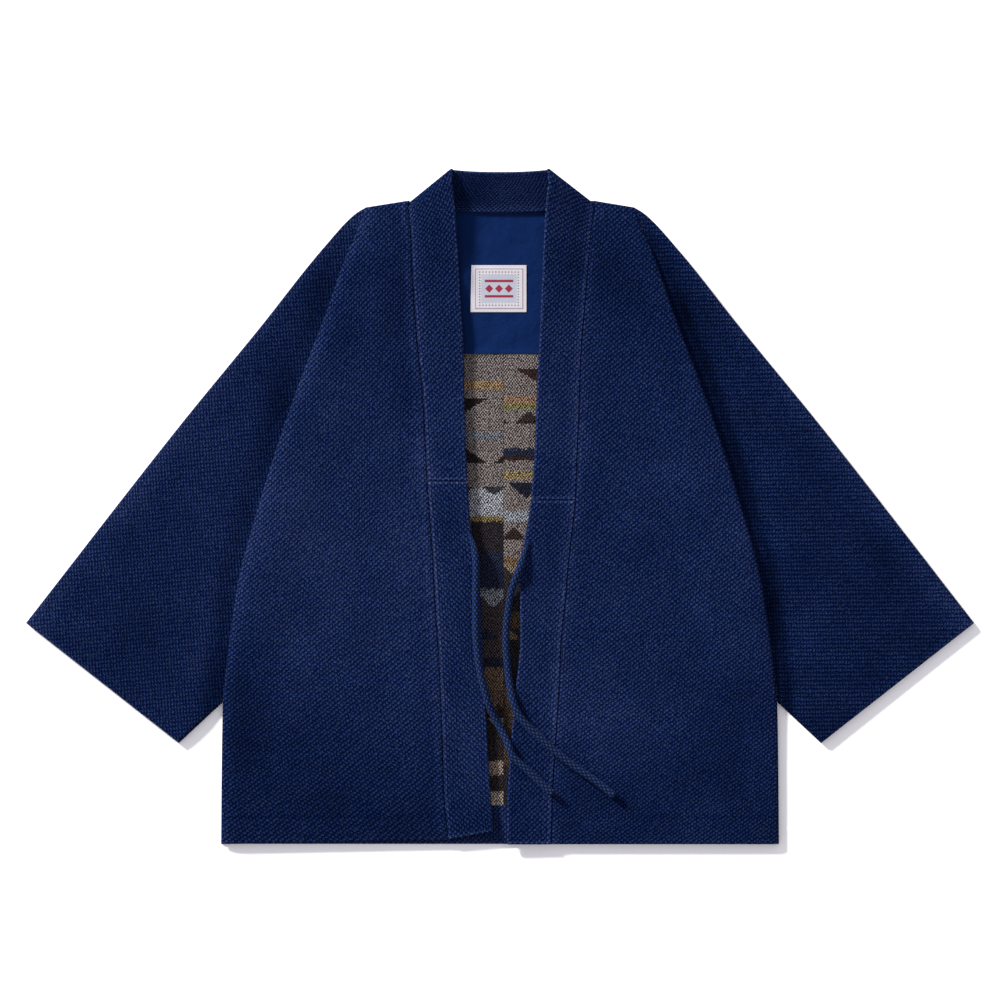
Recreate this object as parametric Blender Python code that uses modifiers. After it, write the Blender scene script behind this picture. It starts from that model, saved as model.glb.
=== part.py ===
"""A haori laid flat on its back: front up, neck towards +Y, hem towards -Y.

The tables are in millimetres. X is measured from the centre line, Y from the middle of the
garment's length and Z up from the table. The wearer's right half lies at -X, so a distance
from the centre line is turned into X by the side's sign.
"""
import math
from bisect import bisect_right
from collections import namedtuple

import bmesh
import bpy
from mathutils import Vector

MM = 0.001
RIGHT = -1
LEFT = 1

# Cloth: a wall of rice-stitch cotton, a thinner lining and the folded collar band.
CLOTH = 2.0
LINING = 1.2
BAND_HALF = 2.0
GAP = 0.3
LABEL_THICKNESS = 0.8

# Heights of the layers over the table.
BACK_TOP = CLOTH
ON_BACK = BACK_TOP + GAP
LINING_TOP = ON_BACK + LINING
HEM_FACING_TOP = ON_BACK + CLOTH
ON_HEM_FACING = HEM_FACING_TOP + GAP
SLEEVE_ROOT_TOP = 6.5
ON_SLEEVE = SLEEVE_ROOT_TOP + GAP
SLEEVE_PUFF = 1.2
FRONT_TOP = 8.8

# Lengths along Y.
SHOULDER_NECK_Y = 342.6
SHOULDER_TIP_Y = 335.0
SHOULDER_BLEND_Y = 300.0
SPLICE_RIGHT_Y = 28.6
SPLICE_LEFT_Y = 7.3
TUCK_END_Y = -187.0
SIDE_WALL_Y = -197.0
ARMPIT_Y = -220.0
TURN_UP_Y = -335.0
HEM_BLEND_Y = -345.0
HEM_Y = -378.6
HEM_CORNER_RIGHT_Y = -373.6
YOKE_HEM_Y = 171.0
STATION_STEP = 36.0
TOP_BEND = 60.0

# Rolled edges.
ROLL = 3.0
WALL = 3.6
WALL_EASE = 4.0
SWELL_FLAT = 24.0
SWELL_END = 90.0
SEWN_CLEARANCE = 0.6

# Collar at the neck.
NECK_SEAM_MID_Y = 330.1
NECK_SEAM_RISE = 8.7
COLLAR_TOP_MID_Y = 373.7
COLLAR_SEAM_Z = 4.4
COLLAR_TOP_MID_Z = 16.5

# Linings, facing and label.
LINING_SEAM_X = 3.9
LINING_HEM_Y = -335.4
LINING_INSET = 9.0
LABEL_CENTRE = (-1.1, 243.9)
LABEL_SIZE = (61.6, 52.6)

# Sleeves, from the neck end of the armhole to the cuff.
CUFF_TIP = (531.4, -130.8)
CUFF_CORNER = (359.8, -265.4)
SLEEVE_STEPS = (0.0, 0.025, 0.06, 0.11, 0.18, 0.28, 0.4, 0.52, 0.64, 0.76, 0.88, 1.0)

TIE_DIAMETER = 8.0
TIE_STEP = 16.0

# Body edge: half width at each height, depth of the sleeve tucked under it, top of each roll.
Edge = namedtuple("Edge", "y x tuck crest_right crest_left")
BODY_EDGE = (
    Edge(335, 150.5, 0, 7.4, 7.4),
    Edge(300, 164.0, 0, 9.6, 10.2),
    Edge(282, 172.0, 6, 11.2, 12.6),
    Edge(214, 196.0, 18, 12.6, 14.8),
    Edge(160, 216.5, 20, 12.6, 15.0),
    Edge(90, 242.0, 22, 12.6, 15.0),
    Edge(10, 267.5, 22, 12.6, 15.0),
    Edge(-87, 293.5, 16, 12.4, 14.8),
    Edge(-174, 306.0, 3, 11.6, 13.0),
    Edge(-187, 307.2, 0, 11.2, 12.4),
    Edge(-217, 310.5, 0, 9.8, 10.4),
    Edge(-300, 312.0, 0, 9.0, 9.0),
    Edge(-378.6, 312.6, 0, 8.8, 8.8),
)

# Sleeve's top edge: height of the fold at each distance from the centre line.
TopEdge = namedtuple("TopEdge", "x y")
SLEEVE_TOP = (
    TopEdge(151.1, 335.5),
    TopEdge(163.0, 328.2),
    TopEdge(200.5, 288.0),
    TopEdge(271.0, 199.2),
    TopEdge(358.4, 91.8),
    TopEdge(531.4, -130.8),
)

# Collar band: where its seam and its free edge lie, and the height of its middle at each.
Band = namedtuple("Band", "seam_y seam_x edge_y edge_x seam_z edge_z")
BANDS = {
    RIGHT: (
        Band(335, 102.0, 363, 54.0, 7.8, 21.2),
        Band(325, 101.0, 350, 51.6, 7.8, 18.8),
        Band(300, 99.0, 316, 48.8, 7.8, 16.0),
        Band(270, 98.0, 279, 46.6, 7.8, 14.0),
        Band(232, 96.0, 232, 44.2, 7.8, 12.6),
        Band(176, 91.3, 176, 40.8, 7.8, 11.0),
        Band(119, 85.7, 119, 39.8, 7.8, 9.2),
        Band(54, 82.3, 54, 37.5, 7.8, 10.8),
        Band(7, 79.6, 7, 35.3, 7.8, 11.0),
        Band(-30, 76.7, -30, 31.5, 7.8, 10.5),
        Band(-58, 74.8, -58, 23.5, 7.8, 10.0),
        Band(-104, 72.2, -104, 21.8, 7.8, 9.6),
        Band(-172, 67.9, -172, 18.5, 7.8, 9.0),
        Band(-240, 64.7, -240, 15.1, 7.8, 9.0),
        Band(-321, 62.2, -321, 10.6, 7.8, 9.2),
        Band(-373.6, 57.7, -364.6, 7.7, 7.8, 10.6),
    ),
    LEFT: (
        Band(335, 104.0, 363, 54.6, 7.8, 21.2),
        Band(325, 102.8, 350, 52.6, 7.8, 18.8),
        Band(300, 100.4, 316, 50.0, 7.8, 16.0),
        Band(270, 98.0, 279, 48.4, 7.8, 13.8),
        Band(232, 94.6, 232, 46.5, 7.8, 12.0),
        Band(176, 90.2, 176, 43.6, 7.8, 10.8),
        Band(119, 87.9, 119, 40.9, 7.8, 10.0),
        Band(63, 85.7, 63, 38.6, 7.8, 10.0),
        Band(7, 83.4, 7, 34.5, 7.8, 10.2),
        Band(-39, 78.6, -39, 27.0, 7.8, 10.4),
        Band(-66, 75.6, -66, 21.5, 7.8, 10.0),
        Band(-105, 72.3, -105, 22.5, 7.8, 9.6),
        Band(-150, 67.8, -150, 23.0, 7.8, 9.2),
        Band(-201, 65.5, -201, 18.0, 7.8, 9.0),
        Band(-252, 62.2, -252, 13.5, 7.8, 9.0),
        Band(-334, 57.5, -334, 8.4, 7.8, 9.0),
        Band(-378.6, 56.6, -378.6, 8.4, 7.8, 8.6),
    ),
}

# Crease where the collar turns from the front to the back of the neck: centre, height, radius.
Crease = namedtuple("Crease", "x y z radius")
CREASE_SEAM = {RIGHT: Crease(99.6, 338.4, 6.2, 1.8), LEFT: Crease(101.6, 338.4, 6.2, 1.8)}
CREASE_TOP = {RIGHT: Crease(52.6, 376.2, 18.6, 2.6), LEFT: Crease(52.6, 376.2, 18.6, 2.6)}
CREASE_OUTWARD = (0.606, 0.795)

# Ties: points on each cord's middle line, from the band's edge to the free end.
Point = namedtuple("Point", "x y z")
TIES = {
    "tie_right": (
        Point(-36.4, -26.3, 17.2),
        Point(-29.7, -43.1, 16.9),
        Point(-26.8, -66.6, 16.5),
        Point(-26.9, -92.4, 16.2),
        Point(-26.9, -127.1, 15.9),
        Point(-26.3, -149.5, 15.7),
        Point(-23.4, -178.0, 15.5),
        Point(-18.5, -201.0, 15.4),
        Point(-13.5, -218.0, 13.8),
        Point(-8.4, -231.3, 10.8),
        Point(-1.4, -245.5, 9.2),
        Point(5.2, -257.5, 11.4),
        Point(10.4, -269.0, 14.8),
        Point(15.0, -280.0, 15.7),
        Point(34.2, -298.5, 15.4),
        Point(53.2, -316.4, 15.2),
        Point(59.9, -321.4, 16.0),
    ),
    "tie_left": (
        Point(32.0, -38.0, 17.2),
        Point(26.6, -55.0, 17.2),
        Point(21.4, -71.0, 16.6),
        Point(16.6, -84.0, 13.6),
        Point(12.8, -96.0, 10.0),
        Point(9.8, -111.0, 8.4),
        Point(7.6, -130.0, 8.2),
        Point(6.7, -150.0, 8.2),
        Point(7.8, -172.0, 8.2),
        Point(9.4, -189.0, 8.8),
        Point(11.4, -203.0, 11.4),
        Point(14.0, -216.0, 14.8),
        Point(19.4, -230.0, 15.7),
        Point(28.4, -242.6, 15.6),
        Point(45.4, -259.3, 15.2),
        Point(59.9, -272.7, 14.9),
        Point(72.0, -282.6, 14.4),
        Point(85.7, -292.9, 14.0),
        Point(111.4, -310.8, 13.8),
        Point(128.2, -324.2, 15.0),
    ),
}

# Colours: dyed cotton, the plain and the woollen lining, the label and the cords.
INDIGO = (0.011, 0.024, 0.098)
YOKE_BLUE = (0.010, 0.030, 0.130)
WOOL = (0.17, 0.14, 0.11)
LABEL_WHITE = (0.78, 0.76, 0.74)
CORD_BLUE = (0.014, 0.045, 0.180)

collection = bpy.data.collections.new("haori")


def clear_scene():
    """Removes what the file holds at the start and links the haori's own collection."""
    for old in list(bpy.data.objects):
        bpy.data.objects.remove(old)
    bpy.context.scene.collection.children.link(collection)


def mix(start, end, share):
    """Point or number that lies the given share of the way from start to end."""
    return start + (end - start) * share


def soften(share):
    """Smooth step from 0 to 1."""
    share = min(max(share, 0.0), 1.0)
    return share * share * (3.0 - 2.0 * share)


def read(table, column, at):
    """Smooth value of a column where the table's first column equals at, with no overshoot."""
    rows = sorted(table)
    keys = [row[0] for row in rows]
    values = [getattr(row, column) for row in rows]
    at = min(max(at, keys[0]), keys[-1])
    steps = [after - before for before, after in zip(keys, keys[1:])]
    rates = [(values[i + 1] - values[i]) / step for i, step in enumerate(steps)]
    slopes = [rates[0]]
    for before, after in zip(rates, rates[1:]):
        slopes.append(2 * before * after / (before + after) if before * after > 0 else 0.0)
    slopes.append(rates[-1])
    i = min(bisect_right(keys, at) - 1, len(steps) - 1)
    share = (at - keys[i]) / steps[i]
    rest = 1.0 - share
    value = values[i] * rest * rest * (1 + 2 * share)
    value += values[i + 1] * share * share * (3 - 2 * share)
    value += slopes[i] * steps[i] * share * rest * rest
    value -= slopes[i + 1] * steps[i] * share * share * rest
    return value


def rounding(distance, radius):
    """Height of a round edge, 1 beyond its radius and close to 0 at its very edge."""
    inside = 1.0 - min(max(distance, 0.0) / radius, 1.0)
    return max(math.sqrt(1.0 - inside * inside), 0.16)


def fold_x(y):
    """Half width of the body, out to its rolled side edge."""
    return read(BODY_EDGE, "x", y)


def armhole_x(y):
    """Half width at the seam where the sleeve is set in."""
    return fold_x(y) - read(BODY_EDGE, "tuck", y) + SEWN_CLEARANCE


def back_edge_x(y):
    """Half width of the back panel: the armhole seam, then the side seam."""
    if y < ARMPIT_Y:
        return fold_x(y)
    return armhole_x(y) - SEWN_CLEARANCE + GAP * 0.5


def stations():
    """Heights of the sections from the shoulder to the hem, shared by all that meets there."""
    breaks = [SHOULDER_BLEND_Y, SPLICE_RIGHT_Y, SPLICE_LEFT_Y, TUCK_END_Y, SIDE_WALL_Y]
    breaks += [ARMPIT_Y, TURN_UP_Y, HEM_BLEND_Y]
    heights = [breaks[0]]
    for start, end in zip(breaks, breaks[1:]):
        count = max(1, round((start - end) / STATION_STEP))
        heights += [mix(start, end, (i + 1) / count) for i in range(count)]
    return heights


def shoulder_stations():
    """Two more heights above the first section, where the shoulder bends."""
    return [SHOULDER_BLEND_Y + 9.0, SHOULDER_BLEND_Y + 19.0]


def material(name, color, roughness):
    """Plain cloth colour for one part."""
    made = bpy.data.materials.new(name)
    made.use_nodes = True
    shader = made.node_tree.nodes["Principled BSDF"]
    shader.inputs["Base Color"].default_value = (*color, 1.0)
    shader.inputs["Roughness"].default_value = roughness
    shader.inputs["Metallic"].default_value = 0.0
    return made


def add_object(name, data, color, roughness=0.85):
    """Puts a mesh or curve into the haori's collection with a material of its own."""
    data.materials.append(material(name, color, roughness))
    made = bpy.data.objects.new(name, data)
    collection.objects.link(made)
    return made


def grid_faces(mesh, grid, wrap=False):
    """Fills a grid of vertices with quads."""
    for low, high in zip(grid, grid[1:]):
        pairs = list(zip(low, high))
        if wrap:
            pairs.append(pairs[0])
        for (a, d), (b, c) in zip(pairs, pairs[1:]):
            mesh.faces.new((a, b, c, d))


def closed_cloth(name, upper, lower, color, wrap=False):
    """One closed wall between two grids of points, the second behind the first."""
    mesh = bmesh.new()
    skins = [[[mesh.verts.new(Vector(p) * MM) for p in row] for row in grid]
             for grid in (upper, lower)]
    for grid in skins:
        grid_faces(mesh, grid, wrap)
    for row in (0, -1):
        grid_faces(mesh, [skins[0][row], skins[1][row]], wrap)
    if not wrap:
        for column in (0, -1):
            grid_faces(mesh, [[line[column] for line in grid] for grid in skins])
    bmesh.ops.recalc_face_normals(mesh, faces=mesh.faces)
    data = bpy.data.meshes.new(name)
    mesh.to_mesh(data)
    mesh.free()
    data.shade_smooth()
    data.set_sharp_from_angle(angle=math.radians(50))
    return add_object(name, data, color)


def flat_cloth(name, grid, bottom, thickness, color):
    """A flat panel: an open grid of (x, y) points on its lower face, thickened upwards."""
    mesh = bmesh.new()
    verts = [[mesh.verts.new(Vector((x, y, bottom)) * MM) for x, y in row] for row in grid]
    grid_faces(mesh, verts)
    bmesh.ops.recalc_face_normals(mesh, faces=mesh.faces)
    if mesh.faces[:][0].normal.z < 0:
        bmesh.ops.reverse_faces(mesh, faces=mesh.faces)
    data = bpy.data.meshes.new(name)
    mesh.to_mesh(data)
    mesh.free()
    made = add_object(name, data, color)
    wall = made.modifiers.new("Wall", "SOLIDIFY")
    wall.thickness = thickness * MM
    wall.offset = 1.0
    return made


def thicken(middle, halves):
    """Upper and lower grids on both sides of a middle surface, with a half thickness per column."""
    upper = []
    lower = []
    last_row = len(middle) - 1
    last_column = len(halves) - 1
    for i, row in enumerate(middle):
        before = middle[max(i - 1, 0)]
        after = middle[min(i + 1, last_row)]
        above = []
        below = []
        for j, point in enumerate(row):
            across = row[min(j + 1, last_column)] - row[max(j - 1, 0)]
            along = after[j] - before[j]
            normal = along.cross(across).normalized()
            above.append(point + normal * halves[j])
            below.append(point - normal * halves[j])
        upper.append(above)
        lower.append(below)
    return upper, lower


def shoulder_line(x):
    """Top edge of the body from the neck to the tip of the shoulder, by distance from the centre."""
    share = (x - BANDS[RIGHT][0].seam_x) / (fold_x(SHOULDER_TIP_Y) - BANDS[RIGHT][0].seam_x)
    return mix(SHOULDER_NECK_Y, SHOULDER_TIP_Y, min(max(share, 0.0), 1.0))


def neck_line(x):
    """Seam of the collar round the back of the neck."""
    share = min(abs(x) / CREASE_SEAM[RIGHT].x, 1.0)
    return NECK_SEAM_MID_Y + NECK_SEAM_RISE * share ** 2.5


def back_top(x):
    """Top edge of the back panel: the neck seam, then the shoulder."""
    neck_end = BANDS[RIGHT][0].seam_x
    if abs(x) < neck_end - 6:
        return neck_line(x) - GAP - 0.4
    if abs(x) < neck_end:
        return mix(neck_line(x) - GAP - 0.4, SHOULDER_NECK_Y, 1 - (neck_end - abs(x)) / 6)
    return shoulder_line(abs(x))


def panel_grid(levels, columns, edge_at, top_at):
    """Grid of a flat panel: straight at its lower edge, bent to top_at at its upper edge."""
    grid = []
    for level in levels:
        bend = soften((level - levels[-1] + TOP_BEND) / TOP_BEND)
        row = []
        for column in columns:
            y = level + bend * (top_at(column) - levels[-1])
            row.append((column / columns[-1] * edge_at(y), y))
        grid.append(row)
    return grid


def mirrored(columns):
    """Columns on both sides of the centre line."""
    return [-c for c in reversed(columns) if c > 0] + list(columns)


def add_back_panel():
    """The back, cut whole, flat on the table from the hem up to the neck and shoulder seams."""
    columns = mirrored((0, 36, 70, 96, 102, 126, 150.5))
    levels = [HEM_Y] + stations()[::-1] + shoulder_stations() + [SHOULDER_TIP_Y]
    grid = panel_grid(levels, columns, back_edge_x, back_top)
    flat_cloth("back_panel", grid, 0.0, CLOTH, INDIGO)


def add_linings():
    """The plain yoke, the two woollen halves below it and the hem's turned-up facing."""
    def inner_edge(y):
        return back_edge_x(y) - LINING_INSET

    def yoke_top(x):
        if abs(x) < 84:
            return neck_line(x) - GAP - 0.5
        return min(neck_line(84) - GAP - 0.5, shoulder_line(abs(x)) - 10)

    columns = mirrored((0, 28, 56, 84, 112, 141.5))
    bottom = YOKE_HEM_Y + GAP * 0.5
    levels = [mix(bottom, SHOULDER_TIP_Y - 10, i / 6) for i in range(7)]
    yoke = panel_grid(levels, columns, inner_edge, yoke_top)
    flat_cloth("yoke_lining", yoke, ON_BACK, LINING, YOKE_BLUE)
    top = YOKE_HEM_Y - GAP * 0.5
    for name, side in (("back_lining_right", RIGHT), ("back_lining_left", LEFT)):
        seam = LINING_SEAM_X + side * GAP * 0.5
        grid = []
        for i in range(15):
            y = mix(LINING_HEM_Y, top, i / 14)
            outer = side * inner_edge(y)
            grid.append([(mix(seam, outer, j / 4), y) for j in range(5)])
        flat_cloth(name, grid, ON_BACK, LINING, WOOL)
    facing = []
    for y in (HEM_Y + 1.0, mix(HEM_Y, LINING_HEM_Y, 0.5), LINING_HEM_Y - GAP):
        outer = inner_edge(y)
        facing.append([(mix(-outer, outer, j / 10), y) for j in range(11)])
    flat_cloth("back_hem_facing", facing, ON_BACK, CLOTH, INDIGO)


def add_label():
    """Woven label sewn flat on the yoke below the neck."""
    half_width = LABEL_SIZE[0] / 2
    half_height = LABEL_SIZE[1] / 2
    middle_x, middle_y = LABEL_CENTRE
    grid = [[(middle_x + sx * half_width, middle_y + sy * half_height) for sx in (-1, 0, 1)]
            for sy in (-1, 1)]
    flat_cloth("neck_label", grid, LINING_TOP + GAP, LABEL_THICKNESS, LABEL_WHITE)


def sleeve_point(share, across):
    """Plan position on a sleeve: share from armhole to cuff, across from top edge to underarm."""
    y = mix(SLEEVE_TOP[0].y, ARMPIT_Y, across)
    root = Vector((armhole_x(y), y))
    cuff = Vector(CUFF_TIP).lerp(Vector(CUFF_CORNER), across)
    point = root.lerp(cuff, share)
    top_x = mix(SLEEVE_TOP[0].x, CUFF_TIP[0], share)
    straight_y = mix(SLEEVE_TOP[0].y, CUFF_TIP[1], share)
    point.y += (read(SLEEVE_TOP, "y", top_x) - straight_y) * (1 - across) ** 2
    return point


def sleeve_ring(side, share, inset):
    """One closed section of a flattened sleeve, its outer or, with an inset, its inner skin."""
    width = (sleeve_point(share, 1.0) - sleeve_point(share, 0.0)).length
    puff = SLEEVE_PUFF * (soften((share - 0.18) / 0.3) - 0.6 * soften((share - 0.75) / 0.25))
    height = SLEEVE_ROOT_TOP + puff
    radius = height / 2
    span = SLEEVE_TOP[0].y - ARMPIT_Y
    top_angles = [math.radians(a) for a in (45, 90)]
    turns = [(inset + (radius - inset) * (1 - math.cos(a)), math.sin(a)) for a in top_angles]
    seam = shoulder_stations()[::-1] + [y for y in stations() if y > SIDE_WALL_Y - 1]
    flat = [(SLEEVE_TOP[0].y - y) / span for y in seam]
    upper = [(s / width, level) for s, level in turns]
    upper += [(across, 1.0) for across in flat]
    upper += [(1 - s / width, level) for s, level in reversed(turns)]
    ring = [(inset / width, 0.0)] + upper + [(1 - inset / width, 0.0)]
    ring += [(across, -level) for across, level in reversed(upper)]
    points = []
    for across, level in ring:
        plan = sleeve_point(share, across)
        points.append(Vector((side * plan.x, plan.y, radius + (radius - inset) * level)))
    return points


def add_sleeve(name, side):
    """A flattened tube, open at the armhole and at the cuff."""
    outer = [sleeve_ring(side, share, 0.0) for share in SLEEVE_STEPS]
    inner = [sleeve_ring(side, share, CLOTH) for share in SLEEVE_STEPS]
    closed_cloth(name, outer, inner, INDIGO, wrap=True)


Row = namedtuple("Row", "seam_y edge_y from_shoulder from_hem")


def front_rows(side):
    """Sections of a front from the shoulder edge to the hem."""
    rows = []
    blend = (SHOULDER_TIP_Y - SHOULDER_BLEND_Y) / (SHOULDER_NECK_Y - SHOULDER_BLEND_Y)
    for down in (0.0, 0.9, ROLL, WALL + WALL_EASE, 16.0, 29.0):
        rows.append(Row(SHOULDER_NECK_Y - down, SHOULDER_TIP_Y - down * blend, down, 999.0))
    for y in stations():
        rows.append(Row(y, y, SHOULDER_NECK_Y - y, y - HEM_Y))
    seam_hem = HEM_CORNER_RIGHT_Y if side == RIGHT else HEM_Y
    blend = (HEM_BLEND_Y - seam_hem) / (HEM_BLEND_Y - HEM_Y)
    for up in (16.0, ROLL, 0.9, 0.0):
        edge_y = HEM_Y + up
        seam_y = HEM_BLEND_Y + (edge_y - HEM_BLEND_Y) * blend
        rows.append(Row(seam_y, edge_y, SHOULDER_NECK_Y - seam_y, up))
    return rows


def side_floor(row):
    """Lowest height that a front's rolled side edge reaches: on the sleeve, or on the back."""
    if row.edge_y > SHOULDER_BLEND_Y + 5 or row.edge_y < TUCK_END_Y - 1:
        return ON_BACK
    return ON_SLEEVE


def front_point(side, row, from_side, wall):
    """Upper and lower point of a front at one distance from its rolled side edge."""
    start = Vector((fold_x(row.edge_y), row.edge_y))
    end = Vector((read(BANDS[side], "seam_x", row.seam_y) + GAP, row.seam_y))
    width = (end - start).length
    plan = start.lerp(end, from_side / width)
    crest = read(BODY_EDGE, "crest_right" if side == RIGHT else "crest_left", row.edge_y)
    swell = 1 - soften((from_side - SWELL_FLAT) / (SWELL_END - SWELL_FLAT))
    roof = mix(FRONT_TOP, crest, swell)
    round_edges = rounding(from_side, ROLL) * rounding(row.from_shoulder, ROLL)
    round_edges *= rounding(row.from_hem, ROLL)
    floor = roof - CLOTH
    thick = True
    if from_side <= wall:
        floor = side_floor(row)
    elif row.from_shoulder <= ROLL:
        floor = ON_BACK
    elif row.from_hem < TURN_UP_Y - HEM_Y:
        floor = ON_HEM_FACING
    else:
        thick = False
    middle = (roof + floor) / 2
    half = (roof - floor) / 2 * (round_edges if thick else 1.0)
    x = side * plan.x
    return Vector((x, plan.y, middle + half)), Vector((x, plan.y, middle - half))


def add_front(name, side):
    """A front panel: rolled over the sleeve at its side, turned up at the hem."""
    upper = []
    lower = []
    for row in front_rows(side):
        tuck = read(BODY_EDGE, "tuck", row.edge_y)
        wall = max(tuck, WALL)
        seam_x = read(BANDS[side], "seam_x", row.seam_y) + GAP
        width = math.hypot(fold_x(row.edge_y) - seam_x, row.edge_y - row.seam_y)
        thin = min(wall + WALL_EASE, width * 0.7)
        columns = [0.0, 0.9, ROLL, wall, thin]
        rest = [30.0, 52.0, SWELL_END]
        open_width = width - SWELL_END
        if open_width > 20:
            rest += [SWELL_END + open_width * share for share in (0.34, 0.67)]
        else:
            rest = [mix(thin, width, share) for share in (0.2, 0.4, 0.6, 0.75, 0.9)]
        pairs = [front_point(side, row, s, wall) for s in columns + rest + [width]]
        upper.append([pair[0] for pair in pairs])
        lower.append([pair[1] for pair in pairs])
    closed_cloth(name, upper, lower, INDIGO)


def band_ends(side, seam_y):
    """Seam point and free edge of the collar band's middle surface at one height."""
    table = BANDS[side]
    seam = Vector((side * read(table, "seam_x", seam_y), seam_y, read(table, "seam_z", seam_y)))
    edge = Vector((side * read(table, "edge_x", seam_y), read(table, "edge_y", seam_y),
                   read(table, "edge_z", seam_y)))
    return seam, edge


def crease_ends(side, turn):
    """Seam point and free edge where the collar turns over, turn going from +90 to -90 degrees."""
    ends = []
    for crease in (CREASE_SEAM[side], CREASE_TOP[side]):
        out = crease.radius * math.cos(math.radians(turn))
        x = crease.x + CREASE_OUTWARD[0] * out
        y = crease.y + CREASE_OUTWARD[1] * out
        ends.append(Vector((side * x, y, crease.z + crease.radius * math.sin(math.radians(turn)))))
    return ends


def neck_ends(share):
    """Seam point and free edge behind the neck, share going from -1 at the right to 1."""
    side = RIGHT if share < 0 else LEFT
    seam_x = share * CREASE_SEAM[side].x
    top_x = share * CREASE_TOP[side].x
    away = abs(share) ** 2.5
    seam = Vector((seam_x, neck_line(seam_x), COLLAR_SEAM_Z))
    low = CREASE_TOP[side].z - CREASE_TOP[side].radius
    top = Vector((top_x, mix(COLLAR_TOP_MID_Y, CREASE_TOP[side].y, away),
                  mix(COLLAR_TOP_MID_Z, low, away)))
    return seam, top


def add_band(name, ends):
    """A folded band through pairs of seam point and free edge, round along its free edge."""
    across = (0.0, 0.33, 0.66)
    near_edge = ((5.0, 1.0), (2.0, 1.0), (0.6, 0.71), (0.0, 0.18))
    middle = []
    for seam, edge in ends:
        length = (edge - seam).length
        shares = list(across) + [1 - distance / length for distance, _ in near_edge]
        middle.append([seam.lerp(edge, share) for share in shares])
    halves = [BAND_HALF] * len(across) + [BAND_HALF * half for _, half in near_edge]
    upper, lower = thicken(middle, halves)
    closed_cloth(name, upper, lower, INDIGO)


def add_collar():
    """The band in three lengths: round the neck down to both splices, then down each front."""
    seam_heights = {side: [row.seam_y for row in front_rows(side)] for side in (RIGHT, LEFT)}
    splices = {RIGHT: SPLICE_RIGHT_Y, LEFT: SPLICE_LEFT_Y}
    arms = {}
    for side, splice in splices.items():
        above = [y for y in seam_heights[side] if splice + 1 < y < SHOULDER_NECK_Y - ROLL - 1]
        arm = [band_ends(side, y) for y in above] + [band_ends(side, splice + GAP * 0.5)]
        arms[side] = [crease_ends(side, turn) for turn in (0, 45, 90)] + arm
    turned = [[crease_ends(side, turn) for turn in (-45, -90)] for side in (RIGHT, LEFT)]
    behind = [neck_ends(i / 6) for i in range(-5, 6)]
    ends = arms[RIGHT][::-1] + turned[0] + behind + turned[1][::-1] + arms[LEFT]
    add_band("collar_neck", ends)
    for name, side in (("collar_lower_right", RIGHT), ("collar_lower_left", LEFT)):
        splice = splices[side]
        below = [y for y in seam_heights[side] if y < splice - 1]
        add_band(name, [band_ends(side, y) for y in [splice - GAP * 0.5] + below])


def smooth_route(route, step):
    """Points at even steps along a smooth curve through a cord's own points."""
    points = [Vector(p) for p in route]
    padded = [points[0] * 2 - points[1]] + points + [points[-1] * 2 - points[-2]]
    fine = []
    for a, b, c, d in zip(padded, padded[1:], padded[2:], padded[3:]):
        for i in range(20):
            t = i / 20
            fine.append(0.5 * (b * 2 + (c - a) * t + (a * 2 - b * 5 + c * 4 - d) * t * t
                               + (b * 3 - a - c * 3 + d) * t ** 3))
    fine.append(points[-1])
    total = sum((q - p).length for p, q in zip(fine, fine[1:]))
    spacing = total / round(total / step)
    even = [fine[0]]
    walked = 0.0
    for p, q in zip(fine, fine[1:]):
        length = (q - p).length
        while walked + length >= spacing * len(even) and len(even) < round(total / step):
            even.append(p.lerp(q, (spacing * len(even) - walked) / length))
        walked += length
    return even + [fine[-1]]


def add_tie(name, route):
    """A limp cord that lies on the bands and the lining."""
    curve = bpy.data.curves.new(name, "CURVE")
    curve.dimensions = "3D"
    curve.bevel_depth = TIE_DIAMETER / 2 * MM
    curve.bevel_resolution = 2
    curve.use_fill_caps = True
    points = smooth_route(route, TIE_STEP)
    spline = curve.splines.new("POLY")
    spline.points.add(len(points) - 1)
    for target, point in zip(spline.points, points):
        target.co = (*(point * MM), 1.0)
    add_object(name, curve, CORD_BLUE)


clear_scene()
add_back_panel()
add_linings()
add_label()
add_sleeve("sleeve_right", RIGHT)
add_sleeve("sleeve_left", LEFT)
add_front("front_right", RIGHT)
add_front("front_left", LEFT)
add_collar()
for tie_name, tie_route in TIES.items():
    add_tie(tie_name, tie_route)
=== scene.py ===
"""A haori of indigo rice-stitch cotton, laid flat on its back and seen from straight above.

Lengths in the tables are in millimetres: X from the centre line, Y from the middle of the
garment's length, Z up from the table. The wearer's right half lies at -X.
"""
import math
from bisect import bisect_right
from collections import namedtuple

import bmesh
import bpy
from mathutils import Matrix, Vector, noise


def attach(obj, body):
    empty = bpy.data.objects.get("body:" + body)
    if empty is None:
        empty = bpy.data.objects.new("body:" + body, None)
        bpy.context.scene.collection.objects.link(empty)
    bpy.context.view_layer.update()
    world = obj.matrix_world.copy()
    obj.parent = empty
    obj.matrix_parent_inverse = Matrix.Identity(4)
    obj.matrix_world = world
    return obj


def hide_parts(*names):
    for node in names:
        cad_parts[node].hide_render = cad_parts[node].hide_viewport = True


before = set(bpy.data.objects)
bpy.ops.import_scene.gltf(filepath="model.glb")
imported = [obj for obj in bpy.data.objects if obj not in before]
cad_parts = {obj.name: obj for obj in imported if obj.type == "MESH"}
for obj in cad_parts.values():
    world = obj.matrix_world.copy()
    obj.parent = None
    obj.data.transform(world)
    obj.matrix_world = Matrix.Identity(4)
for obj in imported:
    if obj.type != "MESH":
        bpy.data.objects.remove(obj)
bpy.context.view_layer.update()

MM = 0.001
RIGHT = -1
LEFT = 1


# ---- Camera
# It hangs straight above the garment, far off behind a long lens, as for a catalogue picture.

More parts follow.
